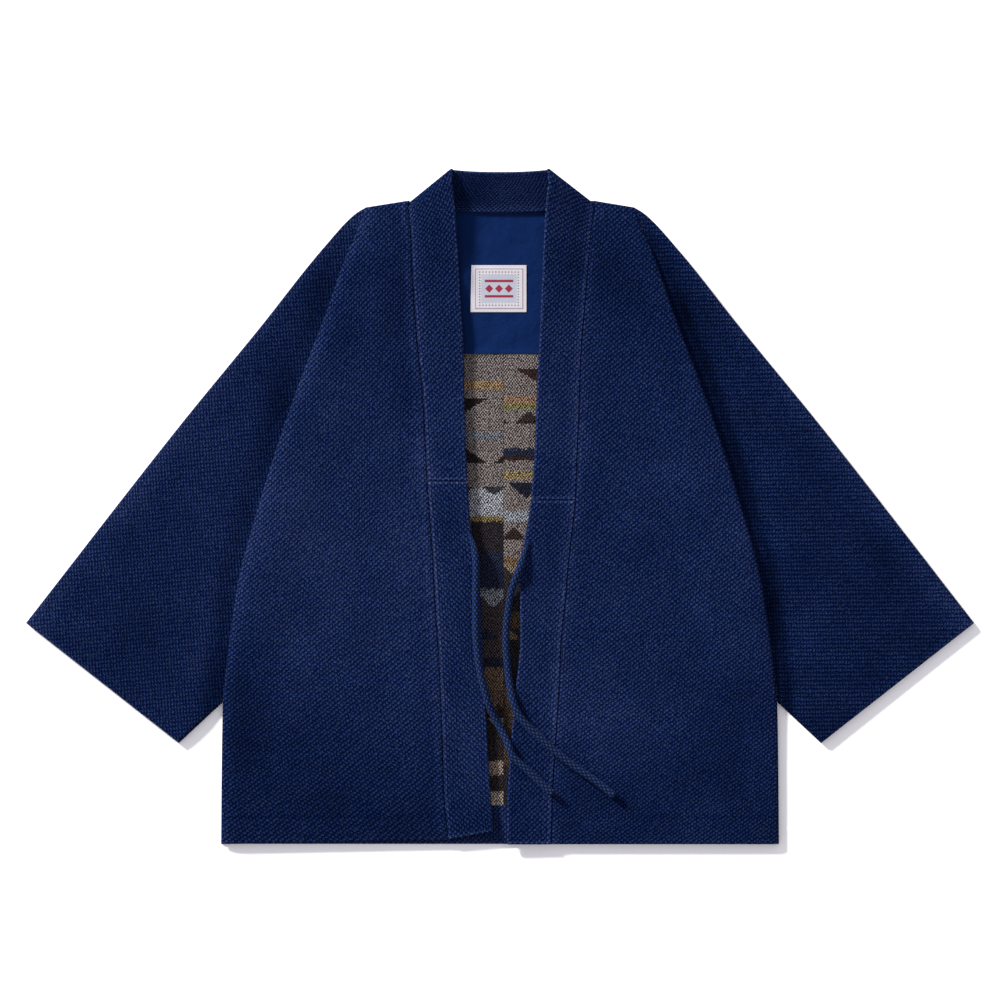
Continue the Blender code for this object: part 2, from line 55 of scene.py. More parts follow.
# In metres: the picture's width at the middle of the cloth, and where the camera hangs.
PICTURE_WIDTH = 1.12
CLOTH_MIDDLE_Z = 0.008
CAMERA_Y = 0.007
CAMERA_Z = 4.6

camera_data = bpy.data.cameras.new("camera above the table")
camera_data.sensor_width = 36.0
camera_data.lens = camera_data.sensor_width * (CAMERA_Z - CLOTH_MIDDLE_Z) / PICTURE_WIDTH
camera_data.clip_end = 40.0
camera = bpy.data.objects.new("camera above the table", camera_data)
camera.location = (0.0, CAMERA_Y, CAMERA_Z)
bpy.context.scene.collection.objects.link(camera)
bpy.context.scene.camera = camera


# ---- Tie cords
# Two round cords braided from soft cotton yarn, sewn into the edge of the collar band.
# They hang loose over the band and the lining and end in a plain cut.

CORD_RADIUS = 4.0
CORD_STEP = 0.9
CORD_SIDES = 40
BRAID_CROSSING = 3.4
BRAID_STRANDS = 5
BRAID_DEPTH = 0.06
CUT_ROUNDING = 1.8
SEWN_IN = 44.0
SEWN_WIDTH = 0.3
SEWN_HEIGHT = 0.15

Point = namedtuple("Point", "x y z")
TIES = {
    "tie_right": (
        Point(-36.4, -26.3, 17.2), Point(-29.7, -43.1, 16.9), Point(-26.8, -66.6, 16.5),
        Point(-26.9, -92.4, 16.2), Point(-26.9, -127.1, 15.9), Point(-26.3, -149.5, 15.7),
        Point(-23.4, -178.0, 15.5), Point(-18.5, -201.0, 15.4), Point(-13.5, -218.0, 13.8),
        Point(-8.4, -231.3, 10.8), Point(-1.4, -245.5, 9.2), Point(5.2, -257.5, 11.4),
        Point(10.4, -269.0, 14.8), Point(15.0, -280.0, 15.7), Point(34.2, -298.5, 15.4),
        Point(53.2, -316.4, 15.2), Point(59.9, -321.4, 16.0),
    ),
    "tie_left": (
        Point(32.0, -38.0, 17.2), Point(26.6, -55.0, 17.2), Point(21.4, -71.0, 16.6),
        Point(16.6, -84.0, 13.6), Point(12.8, -96.0, 10.0), Point(9.8, -111.0, 8.4),
        Point(7.6, -130.0, 8.2), Point(6.7, -150.0, 8.2), Point(7.8, -172.0, 8.2),
        Point(9.4, -189.0, 8.8), Point(11.4, -203.0, 11.4), Point(14.0, -216.0, 14.8),
        Point(19.4, -230.0, 15.7), Point(28.4, -242.6, 15.6), Point(45.4, -259.3, 15.2),
        Point(59.9, -272.7, 14.9), Point(72.0, -282.6, 14.4), Point(85.7, -292.9, 14.0),
        Point(111.4, -310.8, 13.8), Point(128.2, -324.2, 15.0),
    ),
}


def mix(start, end, share):
    """Point or number that lies the given share of the way from start to end."""
    return start + (end - start) * share


def linear(code):
    """Linear colour of an sRGB hex code."""
    channels = [int(code[i:i + 2], 16) / 255 for i in (1, 3, 5)]
    return tuple(c / 12.92 if c <= 0.04045 else ((c + 0.055) / 1.055) ** 2.4
                 for c in channels) + (1.0,)


def set_inputs(tree, node, inputs):
    """Sets a node's inputs to values or links them. A node stands for its first output."""
    for socket, value in inputs.items():
        if isinstance(value, bpy.types.Node):
            value = value.outputs[0]
        if isinstance(value, bpy.types.NodeSocket):
            tree.links.new(value, node.inputs[socket])
        else:
            node.inputs[socket].default_value = value


def add_node(tree, kind, inputs=None, **settings):
    """Adds a shader node with its settings and its inputs."""
    node = tree.nodes.new("ShaderNode" + kind)
    for setting, value in settings.items():
        setattr(node, setting, value)
    set_inputs(tree, node, inputs or {})
    return node


def new_material(name, roughness, specular, sheen=0.0, sheen_tint="#ffffff"):
    """A cloth's material, with its node tree and the shader that its own nodes lead to."""
    made = bpy.data.materials.new(name)
    made.use_nodes = True
    tree = made.node_tree
    shader = tree.nodes["Principled BSDF"]
    set_inputs(tree, shader, {
        "Roughness": roughness, "Specular IOR Level": specular, "Sheen Weight": sheen,
        "Sheen Roughness": 0.5, "Sheen Tint": linear(sheen_tint)})
    return made, tree, shader


def smooth_route(route, step):
    """Points at even steps along a smooth curve through a cord's own points."""
    points = [Vector(p) for p in route]
    padded = [points[0] * 2 - points[1]] + points + [points[-1] * 2 - points[-2]]
    fine = []
    for a, b, c, d in zip(padded, padded[1:], padded[2:], padded[3:]):
        for i in range(20):
            t = i / 20
            fine.append(0.5 * (b * 2 + (c - a) * t + (a * 2 - b * 5 + c * 4 - d) * t * t
                               + (b * 3 - a - c * 3 + d) * t ** 3))
    fine.append(points[-1])
    total = sum((q - p).length for p, q in zip(fine, fine[1:]))
    count = round(total / step)
    even = [fine[0]]
    walked = 0.0
    for p, q in zip(fine, fine[1:]):
        length = (q - p).length
        while len(even) < count and walked + length >= total / count * len(even):
            even.append(p.lerp(q, (total / count * len(even) - walked) / length))
        walked += length
    return even + [fine[-1]], total


def finish_mesh(name, shell, materials, sharp=50):
    """Turns a bmesh into a piece of the scene."""
    data = bpy.data.meshes.new(name)
    shell.to_mesh(data)
    shell.free()
    data.shade_smooth()
    data.set_sharp_from_angle(angle=math.radians(sharp))
    for material in materials:
        data.materials.append(material)
    piece = bpy.data.objects.new(name, data)
    bpy.context.scene.collection.objects.link(piece)
    return piece


def soften(share):
    """Smooth step from 0 to 1."""
    share = min(max(share, 0.0), 1.0)
    return share * share * (3.0 - 2.0 * share)


def braid_cord(name, route):
    """A round tube whose surface rises and falls with the strands of its braid.

    Over its sewn-in length it is pressed flat and narrow under the edge of the band. SEWN_WIDTH
    and SEWN_HEIGHT are shares of its full size there.
    """
    line, length = smooth_route(route, CORD_STEP)
    rows = len(line) - 1
    tube = bmesh.new()
    weave = tube.loops.layers.uv.new("weave")
    strand = tube.verts.layers.float.new("strand")
    row_of = tube.verts.layers.int.new("row")
    made = bmesh.ops.create_grid(tube, x_segments=CORD_SIDES, y_segments=rows, size=0.5)
    spots = {}
    for vert in made["verts"]:
        turn = (vert.co.x + 0.5) * math.tau
        row = round((vert.co.y + 0.5) * rows)
        along = length * row / rows
        ahead = (line[min(row + 1, rows)] - line[max(row - 1, 0)]).normalized()
        side = ahead.cross(Vector((0, 0, 1))).normalized()
        up = side.cross(ahead)
        wave = math.tau * along / (BRAID_CROSSING * 2)
        one = math.cos(BRAID_STRANDS * turn + wave)
        other = math.cos(BRAID_STRANDS * turn - wave)
        relief = -max(one, other)
        from_end = length - along
        radius = CORD_RADIUS * (0.99 + BRAID_DEPTH * relief)
        radius *= math.sqrt(max(1 - (1 - min(from_end / CUT_ROUNDING, 1)) ** 2, 0.2))
        width = mix(SEWN_WIDTH, 1.0, soften(along / SEWN_IN * 1.5))
        height = mix(SEWN_HEIGHT, 1.0, soften(along / SEWN_IN))
        offset = side * math.cos(turn) * width * radius
        offset += up * (math.sin(turn) * height * radius - (1 - height) * CORD_RADIUS)
        vert.co = (line[row] + offset) * MM
        vert[strand] = 0.5 + 0.5 * relief
        vert[row_of] = row
        spots[vert] = (turn * CORD_RADIUS * MM, along * MM)
    for face in tube.faces:
        for loop in face.loops:
            loop[weave].uv = spots[loop.vert]
    bmesh.ops.remove_doubles(tube, verts=tube.verts, dist=1e-7)
    for end in (0, rows):
        rim = [e for e in tube.edges if e.is_boundary and all(v[row_of] == end for v in e.verts)]
        bmesh.ops.edgeloop_fill(tube, edges=rim)
    bmesh.ops.recalc_face_normals(tube, faces=tube.faces)
    piece = finish_mesh(name + "_cord", tube, [braided_cotton], sharp=70)
    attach(piece, "root")
    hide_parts(name)
    return piece


# Braided cotton: dyed yarn, paler on the crown of each strand and darker where strands cross
# under, the dark partly painted shade in these hollows.
braided_cotton, tree, shader = new_material("braided cotton cord", 0.9, 0.1, 0.04, "#6f8fd0")
strand_height = add_node(tree, "Attribute", attribute_name="strand")
cord_uv = add_node(tree, "UVMap", uv_map="weave")
fibres = add_node(tree, "TexNoise", {"Vector": cord_uv, "Scale": 900.0, "Detail": 3.0})
yarn = add_node(tree, "Math",
                {0: fibres, 1: 0.7, 2: strand_height.outputs["Fac"]}, operation="MULTIPLY_ADD")
yarn_share = add_node(tree, "MapRange", {"Value": yarn, "From Min": 0.5, "From Max": 1.15})
# Dark to pale with the height of the strands: partly painted shade where they cross under.
cord_colour = add_node(tree, "ValToRGB", {"Fac": yarn_share})
cord_colour.color_ramp.elements[0].color = linear("#010618")
cord_colour.color_ramp.elements[1].color = linear("#1b3262")
cord_bump = add_node(tree, "Bump", {"Height": fibres, "Distance": 0.0004, "Strength": 0.6})
set_inputs(tree, shader, {"Base Color": cord_colour, "Normal": cord_bump})

for tie_name, tie_route in TIES.items():
    braid_cord(tie_name, tie_route)


# ---- Back panel
# One width of heavy cotton woven in rice stitch, flat on the table under everything else.
# Its sides follow the armholes and the side seams, its top the shoulders and the neck.

CLOTH = 2.0
GAP = 0.3
SHOULDER_NECK_Y = 342.6
SHOULDER_TIP_Y = 335.0
ARMPIT_Y = -220.0
HEM_Y = -378.6
NECK_END_X = 102.0
NECK_SEAM_MID_Y = 330.1
NECK_SEAM_RISE = 8.7
NECK_SEAM_HALF = 99.6
NECK_SEAM_INSET = 0.4
TOP_BEND = 60.0
TOP_CORNER = 6.0
HEM_FOLD = 7.0
SEWN_CLEARANCE = 0.6
GRAIN_WIDTH = 3.0
GRAIN_LENGTH = 2.9
GRAIN_RISE = 3.0
YARN_STRAY = 3.6
# Colours from the ground between the grains, darker partly as painted shade, to the crowns, paler
# partly as painted sheen.
INDIGO_GROUND = "#000e38"
INDIGO_CROWN = "#263456"

# Noise of the cotton, in turns per metre: rows that stray, single yarns, patches of the dye.
STRAY_SCALE = 240.0
YARN_SCALE = 650.0
DYE_SCALE = 11.0

# Half width of the body, depth of the sleeve tucked under it and top of each rolled edge.
Edge = namedtuple("Edge", "y x tuck crest_right crest_left")
BODY_EDGE = (
    Edge(335, 150.5, 0, 7.4, 7.4),
    Edge(300, 164.0, 0, 9.6, 10.2),
    Edge(282, 172.0, 6, 11.2, 12.6),
    Edge(214, 196.0, 18, 12.6, 14.8),
    Edge(160, 216.5, 20, 12.6, 15.0),
    Edge(90, 242.0, 22, 12.6, 15.0),
    Edge(10, 267.5, 22, 12.6, 15.0),
    Edge(-87, 293.5, 16, 12.4, 14.8),
    Edge(-174, 306.0, 3, 11.6, 13.0),
    Edge(-187, 307.2, 0, 11.2, 12.4),
    Edge(-217, 310.5, 0, 9.8, 10.4),
    Edge(-300, 312.0, 0, 9.0, 9.0),
    Edge(-378.6, 312.6, 0, 8.8, 8.8),
)


def curve(table, column):
    """Smooth function through a column over the table's first column, with no overshoot."""
    rows = sorted(table)
    keys = [row[0] for row in rows]
    values = [getattr(row, column) for row in rows]
    steps = [after - before for before, after in zip(keys, keys[1:])]
    rates = [(values[i + 1] - values[i]) / step for i, step in enumerate(steps)]
    slopes = [rates[0]]
    for before, after in zip(rates, rates[1:]):
        slopes.append(2 * before * after / (before + after) if before * after > 0 else 0.0)
    slopes.append(rates[-1])

    def value_at(at):
        at = min(max(at, keys[0]), keys[-1])
        i = min(bisect_right(keys, at) - 1, len(steps) - 1)
        share = (at - keys[i]) / steps[i]
        rest = 1.0 - share
        value = values[i] * rest * rest * (1 + 2 * share)
        value += values[i + 1] * share * share * (3 - 2 * share)
        value += slopes[i] * steps[i] * share * rest * rest
        return value - slopes[i + 1] * steps[i] * share * share * rest
    return value_at


fold_x = curve(BODY_EDGE, "x")
tuck = curve(BODY_EDGE, "tuck")
crest_z = {RIGHT: curve(BODY_EDGE, "crest_right"), LEFT: curve(BODY_EDGE, "crest_left")}


def armhole_x(y):
    """Half width at the seam where the sleeve is set in."""
    return fold_x(y) - tuck(y) + SEWN_CLEARANCE


def back_edge_x(y):
    """Half width of the back panel: the armhole seam, then the side seam."""
    if y < ARMPIT_Y:
        return fold_x(y)
    return armhole_x(y) - SEWN_CLEARANCE + GAP * 0.5


def shoulder_line(x):
    """Top edge of the body from the neck to the tip of the shoulder."""
    share = (x - NECK_END_X) / (fold_x(SHOULDER_TIP_Y) - NECK_END_X)
    return mix(SHOULDER_NECK_Y, SHOULDER_TIP_Y, min(max(share, 0.0), 1.0))


def neck_line(x):
    """Seam of the collar round the back of the neck."""
    share = min(abs(x) / NECK_SEAM_HALF, 1.0)
    return NECK_SEAM_MID_Y + NECK_SEAM_RISE * share ** 2.5


def back_top(x):
    """Top edge of the back panel: the neck seam, then the shoulder."""
    if abs(x) >= NECK_END_X:
        return shoulder_line(abs(x))
    under_collar = neck_line(x) - GAP - NECK_SEAM_INSET
    if abs(x) < NECK_END_X - TOP_CORNER:
        return under_collar
    return mix(under_collar, SHOULDER_NECK_Y, 1 - (NECK_END_X - abs(x)) / TOP_CORNER)


# Soft-edged patches: middle, half width and half height, and strength, here how much paler the
# colour is, or darker if below 0:
# partly uneven dye, partly painted light and shade. Beyond PATCH_REACH half widths such a patch
# adds nothing.
Patch = namedtuple("Patch", "x y wide tall strength")
PATCH_REACH = 2.6
# Paler and darker patches: partly uneven dye, partly painted light and shade.
DYE_AND_PAINTED_LIGHT_PATCHES = (
    Patch(-170, -370, 260, 90, -0.33), Patch(-300, -230, 40, 90, -0.25),
    Patch(-170, 330, 110, 50, -0.15), Patch(-205, 235, 28, 40, -0.25),
    Patch(180, -360, 240, 70, -0.22), Patch(120, 280, 60, 55, -0.35),
    Patch(140, -30, 70, 120, -0.12), Patch(-30, 352, 24, 22, -0.42), Patch(28, 352, 40, 20, -0.05),
    Patch(-420, -130, 90, 60, -0.25), Patch(-246, 140, 20, 50, -0.25),
    Patch(-112, 235, 20, 70, -0.4), Patch(-156, 265, 30, 30, -0.2), Patch(-70, 275, 22, 75, -0.28),
    Patch(-111, -49, 30, 45, 0.25), Patch(-245, -255, 55, 60, -0.22),
    Patch(-190, -290, 90, 60, -0.14), Patch(112, 250, 40, 80, -0.18),
    Patch(155, 210, 30, 70, -0.2), Patch(193, 38, 40, 30, 0.2), Patch(200, 40, 90, 200, -0.06),
    Patch(250, -230, 70, 90, -0.3), Patch(440, -90, 60, 50, -0.1), Patch(337, -105, 30, 30, 0.15),
    Patch(-470, -138, 25, 25, 0.2), Patch(-335, -150, 25, 50, 0.2),
    Patch(-425, -43, 35, 35, -0.15), Patch(-290, -120, 25, 90, -0.06),
    Patch(-240, -75, 60, 90, 0.1), Patch(-35, -290, 18, 80, 0.2), Patch(24, -230, 14, 90, -0.15),
    Patch(105, -45, 35, 60, -0.12), Patch(-100, 120, 22, 60, -0.14),
    Patch(337, -160, 25, 30, 0.12), Patch(381, -217, 30, 20, 0.15), Patch(-180, 185, 40, 50, -0.2),
    Patch(196, 150, 18, 50, -0.22), Patch(258, 140, 18, 40, 0.2), Patch(296, 0, 25, 50, 0.12),
    Patch(58, -30, 20, 50, -0.2), Patch(-62, -20, 20, 40, -0.13), Patch(247, -75, 20, 45, -0.14),
    Patch(112, -351, 25, 12, 0.25), Patch(-262, 150, 16, 60, -0.1), Patch(-205, 220, 20, 40, 0.1),
    Patch(-300, -215, 22, 30, -0.18), Patch(-156, -310, 30, 25, 0.12),
    Patch(290, -330, 40, 60, -0.1), Patch(-66, -290, 16, 50, -0.08),
    Patch(-291, 136, 22, 45, -0.1), Patch(-380, -217, 30, 30, -0.1),
    Patch(-201, 153, 22, 30, -0.08), Patch(-156, 52, 25, 35, -0.09), Patch(-67, 55, 18, 45, -0.09),
    Patch(336, -217, 22, 30, 0.12),
)


def patch_at(patch, x, y):
    """What a soft-edged patch adds at a point."""
    aside = (x - patch.x) / patch.wide
    above = (y - patch.y) / patch.tall
    return patch.strength * math.exp(-aside * aside - above * above)


def dye_and_painted_light(x, y):
    """How much paler, or darker if below 0, the colour is: partly uneven dye, partly painted light
    and shade.
    """
    return sum(patch_at(tone_patch, x, y) for tone_patch in DYE_AND_PAINTED_LIGHT_PATCHES
               if abs(x - tone_patch.x) < PATCH_REACH * tone_patch.wide
               and abs(y - tone_patch.y) < PATCH_REACH * tone_patch.tall)


def unevenness(x, y, size, height):
    """Slow rise and fall of cloth that isn't pressed quite flat."""
    return noise.noise(Vector((x / size, y / size, 0.37))) * height


def lay_cloth(name, columns, rows, place, materials, wrap=False):
    """A closed wall of cloth between two skins, with the weave's coordinates, and its wear, dye
    and painted light and shade.

    place gives, for a column and a row, the points of the upper and the lower skin, the
    position along the weft and the warp, and how much paler or darker the colour is there, from
    wear, dye and painted light and shade.
    """
    shell = bmesh.new()
    weave = shell.loops.layers.uv.new("weave")
    thread = shell.verts.layers.float_vector.new("thread")
    wear_and_painted_light = shell.verts.layers.float.new("wear_and_painted_light")
    row_of = shell.verts.layers.int.new("row")
    for level in (0, 1):
        made = bmesh.ops.create_grid(shell, x_segments=columns - 1, y_segments=rows - 1, size=0.5)
        faces = set()
        for vert in made["verts"]:
            i = round((vert.co.x + 0.5) * (columns - 1))
            j = round((vert.co.y + 0.5) * (rows - 1))
            skins, threads, wear_and_light = place(i, j)
            vert.co = skins[level] * MM
            vert[thread] = Vector((*threads, 0.0)) * MM
            vert[wear_and_painted_light] = wear_and_light
            vert[row_of] = j
            faces.update(vert.link_faces)
        for face in faces:
            for loop in face.loops:
                loop[weave].uv = loop.vert[thread].xy
    if wrap:
        bmesh.ops.remove_doubles(shell, verts=shell.verts, dist=1e-7)
        ends = [[e for e in shell.edges
                 if e.is_boundary and all(v[row_of] == end for v in e.verts)]
                for end in (0, rows - 1)]
    else:
        ends = [[e for e in shell.edges if e.is_boundary]]
    for rim in ends:
        bridge = bmesh.ops.bridge_loops(shell, edges=rim)
        for face in bridge["faces"]:
            for loop in face.loops:
                loop[weave].uv = loop.vert[thread].xy
    bmesh.ops.recalc_face_normals(shell, faces=shell.faces)
    piece = finish_mesh(name, shell, materials)
    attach(piece, "root")
    return piece


def spread(start, end, count):
    """Evenly spaced numbers from start to end."""
    return [mix(start, end, i / (count - 1)) for i in range(count)]


def rice_stitch(name, mottle):
    """Rice-stitch cotton: staggered grains of thick yarn, dyed indigo and paler on their crowns.

    The grains stand proud of a darker ground and run into slanting chains. The yarn is uneven.
    The ground's darker colour is partly painted shade between the grains, and the crowns' paler
    colour partly a painted sheen.
    Edges and ridges are paler, partly from rubbing and partly as painted highlights, and the dye
    varies a little over the whole width.
    """
    material, tree, shader = new_material(name, 0.95, 0.02)
    uv = add_node(tree, "UVMap", uv_map="weave")
    place = add_node(tree, "TexCoord")
    wobble = add_node(tree, "TexNoise",
                      {"Vector": place.outputs["Object"], "Scale": STRAY_SCALE, "Detail": 2.0})
    centred = add_node(tree, "VectorMath",
                       {0: wobble.outputs["Color"], 1: (0.5, 0.5, 0.5)}, operation="SUBTRACT")
    shift = add_node(tree, "VectorMath",
                     {0: centred, 1: (YARN_STRAY * MM, YARN_STRAY * MM, 0.0), 2: uv},
                     operation="MULTIPLY_ADD")
    threads = add_node(tree, "SeparateXYZ", {0: shift})
    across = add_node(tree, "Math",
                      {0: threads, 1: math.pi / (GRAIN_WIDTH * MM)}, operation="MULTIPLY")
    along = add_node(tree, "Math",
                     {0: threads.outputs["Y"], 1: math.pi / (GRAIN_LENGTH * MM)},
                     operation="MULTIPLY")
    columns = add_node(tree, "Math", {0: across}, operation="COSINE")
    rows = add_node(tree, "Math", {0: along}, operation="COSINE")
    check = add_node(tree, "Math", {0: columns, 1: rows}, operation="MULTIPLY")
    double = add_node(tree, "Math", {0: columns, 1: columns}, operation="MULTIPLY")
    stand = add_node(tree, "Math", {0: double, 1: 0.65, 2: check}, operation="MULTIPLY_ADD")
    slant = add_node(tree, "Math", {0: across, 1: along}, operation="SUBTRACT")
    chain = add_node(tree, "Math", {0: slant}, operation="COSINE")
    crowd = add_node(tree, "Math", {0: chain, 1: 0.25, 2: stand}, operation="MULTIPLY_ADD")
    grain = add_node(tree, "MapRange",
                     {"Value": crowd, "From Min": -0.35, "From Max": 1.3},
                     interpolation_type="SMOOTHSTEP")
    yarns = add_node(tree, "TexNoise",
                     {"Vector": place.outputs["Object"], "Scale": YARN_SCALE, "Detail": 2.0})
    lift = add_node(tree, "Math", {0: yarns, 1: 2.8, 2: -1.4}, operation="MULTIPLY_ADD")
    tone = add_node(tree, "Math", {0: grain, 1: lift}, operation="ADD")
    # Ground to crown: partly painted shade between the grains and painted sheen on their tops.
    colour = add_node(tree, "ValToRGB", {"Fac": tone})
    colour.color_ramp.elements[0].color = linear(INDIGO_GROUND)
    colour.color_ramp.elements[1].color = linear(INDIGO_CROWN)
    dye = add_node(tree, "TexNoise",
                   {"Vector": place.outputs["Object"], "Scale": DYE_SCALE, "Detail": 4.0,
                    "Roughness": 0.6})
    uneven = add_node(tree, "MapRange",
                      {"Value": dye, "From Min": 0.3, "From Max": 0.7, "To Min": 1.0 - mottle,
                       "To Max": 1.0 + mottle})
    # Paler or darker by the mesh's wear, dye and painted light and shade.
    wear_and_light = add_node(tree, "Attribute", attribute_name="wear_and_painted_light")
    gain = add_node(tree, "Math", {0: wear_and_light.outputs["Fac"], 1: uneven}, operation="ADD")
    dyed = add_node(tree, "Mix",
                    {0: 1.0, 6: colour, 7: gain}, data_type="RGBA", blend_type="MULTIPLY")
    relief = add_node(tree, "Math", {0: yarns, 1: 1.4, 2: grain}, operation="MULTIPLY_ADD")
    bump = add_node(tree, "Bump", {"Height": relief, "Distance": GRAIN_RISE * MM, "Strength": 1.0})
    richness = add_node(tree, "Math", {0: gain, 1: -0.18, 2: 1.18}, operation="MULTIPLY_ADD")
    indigo = add_node(tree, "HueSaturation", {"Saturation": richness, "Color": dyed.outputs[2]})
    set_inputs(tree, shader, {"Base Color": indigo, "Normal": bump})
    return material


indigo_cotton = rice_stitch("indigo rice-stitch cotton", 0.16)


def mirrored(columns):
    """Columns on both sides of the centre line."""
    return [-c for c in reversed(columns) if c > 0] + list(columns)


def panel_place(levels, columns, edge_at, top_at, bottom, top, swell=None, hem=0.0):
    """Place function of a flat panel: straight below, bent to top_at at its upper edge.

    swell gives how far it rises at a point, hem how much its turned lower edge stands up.
    """
    def place(i, j):
        bend = soften((levels[j] - levels[-1] + TOP_BEND) / TOP_BEND)
        y = levels[j] + bend * (top_at(columns[i]) - levels[-1])
        x = columns[i] / columns[-1] * edge_at(y)
        lift = hem * (1 - soften((levels[j] - levels[0]) / HEM_FOLD))
        if swell:
            lift += swell(x, y)
        return (Vector((x, y, top + lift)), Vector((x, y, bottom))), (x, y), 0.0
    return place


back_columns = mirrored(spread(0, 96, 33) + spread(99, 150.5, 18))
back_levels = spread(HEM_Y, SHOULDER_TIP_Y, 200)
back = lay_cloth("back_cloth", len(back_columns), len(back_levels),
                 panel_place(back_levels, back_columns, back_edge_x, back_top, 0.0, CLOTH),
                 [indigo_cotton])
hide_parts("back_panel")


# ---- Linings and hem facing
# A plain cotton yoke under the neck and shoulders, two widths of patterned wool below it with
# a seam down the middle, and the back's own cloth turned up over their lower edge.

LINING = 1.2
ON_BACK = CLOTH + GAP
LINING_TOP = ON_BACK + LINING
YOKE_HEM_Y = 171.0
LINING_HEM_Y = -335.4
YOKE_HEM_RISE = 0.9
LINING_SEAM_X = 3.9
LINING_INSET = 9.0
YOKE_NECK_X = 84.0
YOKE_NECK_INSET = 0.5
YOKE_SHOULDER_INSET = 10.0
PUCKER = Patch(-41, 258, 9, 20, 4.6)

# What runs along an edge or a seam: how far from it, its half width and how much it adds.
Line = namedtuple("Line", "away wide much")
WOOL_SEAM_DENT = Line(0.0, 1.2, 0.35)

# An edge that is pressed down: over what width and by how much.
Lip = namedtuple("Lip", "wide drop")
FACING_EDGE = Lip(1.6, 0.7)
FACING_INSET = 1.0
FACING_PALER = 0.15


def line_at(line, distance):
    """What a line adds at a distance from its edge or seam."""
    return line.much * math.exp(-((distance - line.away) / line.wide) ** 2)


def lip_at(lip, distance):
    """How far a pressed edge lies below the rest of its cloth."""
    return lip.drop * (1 - soften(distance / lip.wide))


def lining_edge(y):
    """Half width of the linings, sewn in a little inside the back's edge."""
    return back_edge_x(y) - LINING_INSET


def yoke_top(x):
    """Top edge of the yoke under the collar's seam and the shoulders."""
    below_seam = neck_line(min(abs(x), YOKE_NECK_X)) - GAP - YOKE_NECK_INSET
    if abs(x) < YOKE_NECK_X:
        return below_seam
    return min(below_seam, shoulder_line(abs(x)) - YOKE_SHOULDER_INSET)


def yoke_swell(x, y):
    """Height of the soft pucker beside the label and of the yoke's slow rise and fall."""
    return patch_at(PUCKER, x, y) + unevenness(x, y, size=26.0, height=0.35)


# Blue cotton lining: a smooth plain weave with faint creases from wear.
blue_lining, tree, shader = new_material("blue plain-weave cotton", 0.9, 0.02)
yoke_place = add_node(tree, "TexCoord")
creases = add_node(tree, "TexNoise",
                   {"Vector": yoke_place.outputs["Object"], "Scale": 42.0, "Detail": 3.0})
cloth_grain = add_node(tree, "TexNoise",
                       {"Vector": yoke_place.outputs["Object"], "Scale": 900.0, "Detail": 2.0})
blue = add_node(tree, "ValToRGB", {"Fac": cloth_grain})
blue.color_ramp.elements[0].position = 0.3
blue.color_ramp.elements[0].color = linear("#07183c")
blue.color_ramp.elements[1].position = 0.7
blue.color_ramp.elements[1].color = linear("#0b2049")
yoke_height = add_node(tree, "Math",
                       {0: cloth_grain, 1: 0.06, 2: creases}, operation="MULTIPLY_ADD")
yoke_bump = add_node(tree, "Bump", {"Height": yoke_height, "Distance": 0.004, "Strength": 0.7})
set_inputs(tree, shader, {"Base Color": blue, "Normal": yoke_bump})

yoke_columns = mirrored(spread(0, 141.5, 48))
yoke_levels = spread(YOKE_HEM_Y + GAP * 0.5, SHOULDER_TIP_Y - YOKE_SHOULDER_INSET, 90)
yoke = lay_cloth("yoke_cloth", len(yoke_columns), len(yoke_levels),
                 panel_place(yoke_levels, yoke_columns, lining_edge, yoke_top, ON_BACK,
                             LINING_TOP, swell=yoke_swell, hem=YOKE_HEM_RISE), [blue_lining])
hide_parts("yoke_lining")

# Stripes of each lining half from the yoke down: where each starts and its colour.
Stripe = namedtuple("Stripe", "y colour")
STRIPES = {
    RIGHT: (
        Stripe(171, "#645d5c"), Stripe(141, "#776349"), Stripe(132, "#655e5c"),
        Stripe(84, "#5a5e66"), Stripe(76, "#655e5c"), Stripe(22, "#7f8288"),
        Stripe(-10, "#66583c"), Stripe(-17, "#211d22"), Stripe(-50, "#1a2033"),
        Stripe(-92, "#63666c"), Stripe(-101, "#332d30"), Stripe(-168, "#1b1d28"),
        Stripe(-180, "#55453a"), Stripe(-238, "#241f22"), Stripe(-284, "#786c60"),
        Stripe(-300, "#292224"), Stripe(-318, "#857b70"),
    ),
    LEFT: (
        Stripe(171, "#655e5c"), Stripe(124, "#7a604d"), Stripe(115, "#66643f"),
        Stripe(110, "#655e5c"), Stripe(66, "#192034"), Stripe(58, "#2a1e1c"),
        Stripe(52, "#655e5c"), Stripe(39, "#7a6a48"), Stripe(31, "#655e5c"),
        Stripe(-4, "#777b82"), Stripe(-16, "#655e5c"), Stripe(-56, "#63503a"),
        Stripe(-66, "#2a2527"), Stripe(-118, "#4a3b2e"), Stripe(-136, "#222024"),
        Stripe(-200, "#3a2f29"), Stripe(-290, "#201e24"),
    ),
}

# Rows of woven triangles: base line, height (below 0 if they point down), width of one, middle
# of the first and colour.
Triangles = namedtuple("Triangles", "y tall wide first colour")
TRIANGLES = {
    RIGHT: (
        Triangles(120, -18, 62, -45, "#1e1716"), Triangles(48, 16, 46, -40, "#1b1819"),
        Triangles(22, -11, 30, -8, "#2a2a33"), Triangles(-101, -14, 30, -8, "#6a6c72"),
        Triangles(-150, 13, 24, -16, "#1c2030"), Triangles(-238, 16, 34, -3, "#2b2220"),
        Triangles(-238, -14, 26, -3, "#5d6672"),
    ),
    LEFT: (
        Triangles(153, -17, 56, 44, "#2c1e1d"), Triangles(92, 13, 34, 32, "#292220"),
        Triangles(25, -17, 40, 28, "#161a26"), Triangles(-38, 13, 30, 14, "#2a1f1d"),
        Triangles(-66, -12, 22, 12, "#6b5f50"), Triangles(-150, 12, 20, 10, "#685a44"),
    ),
}
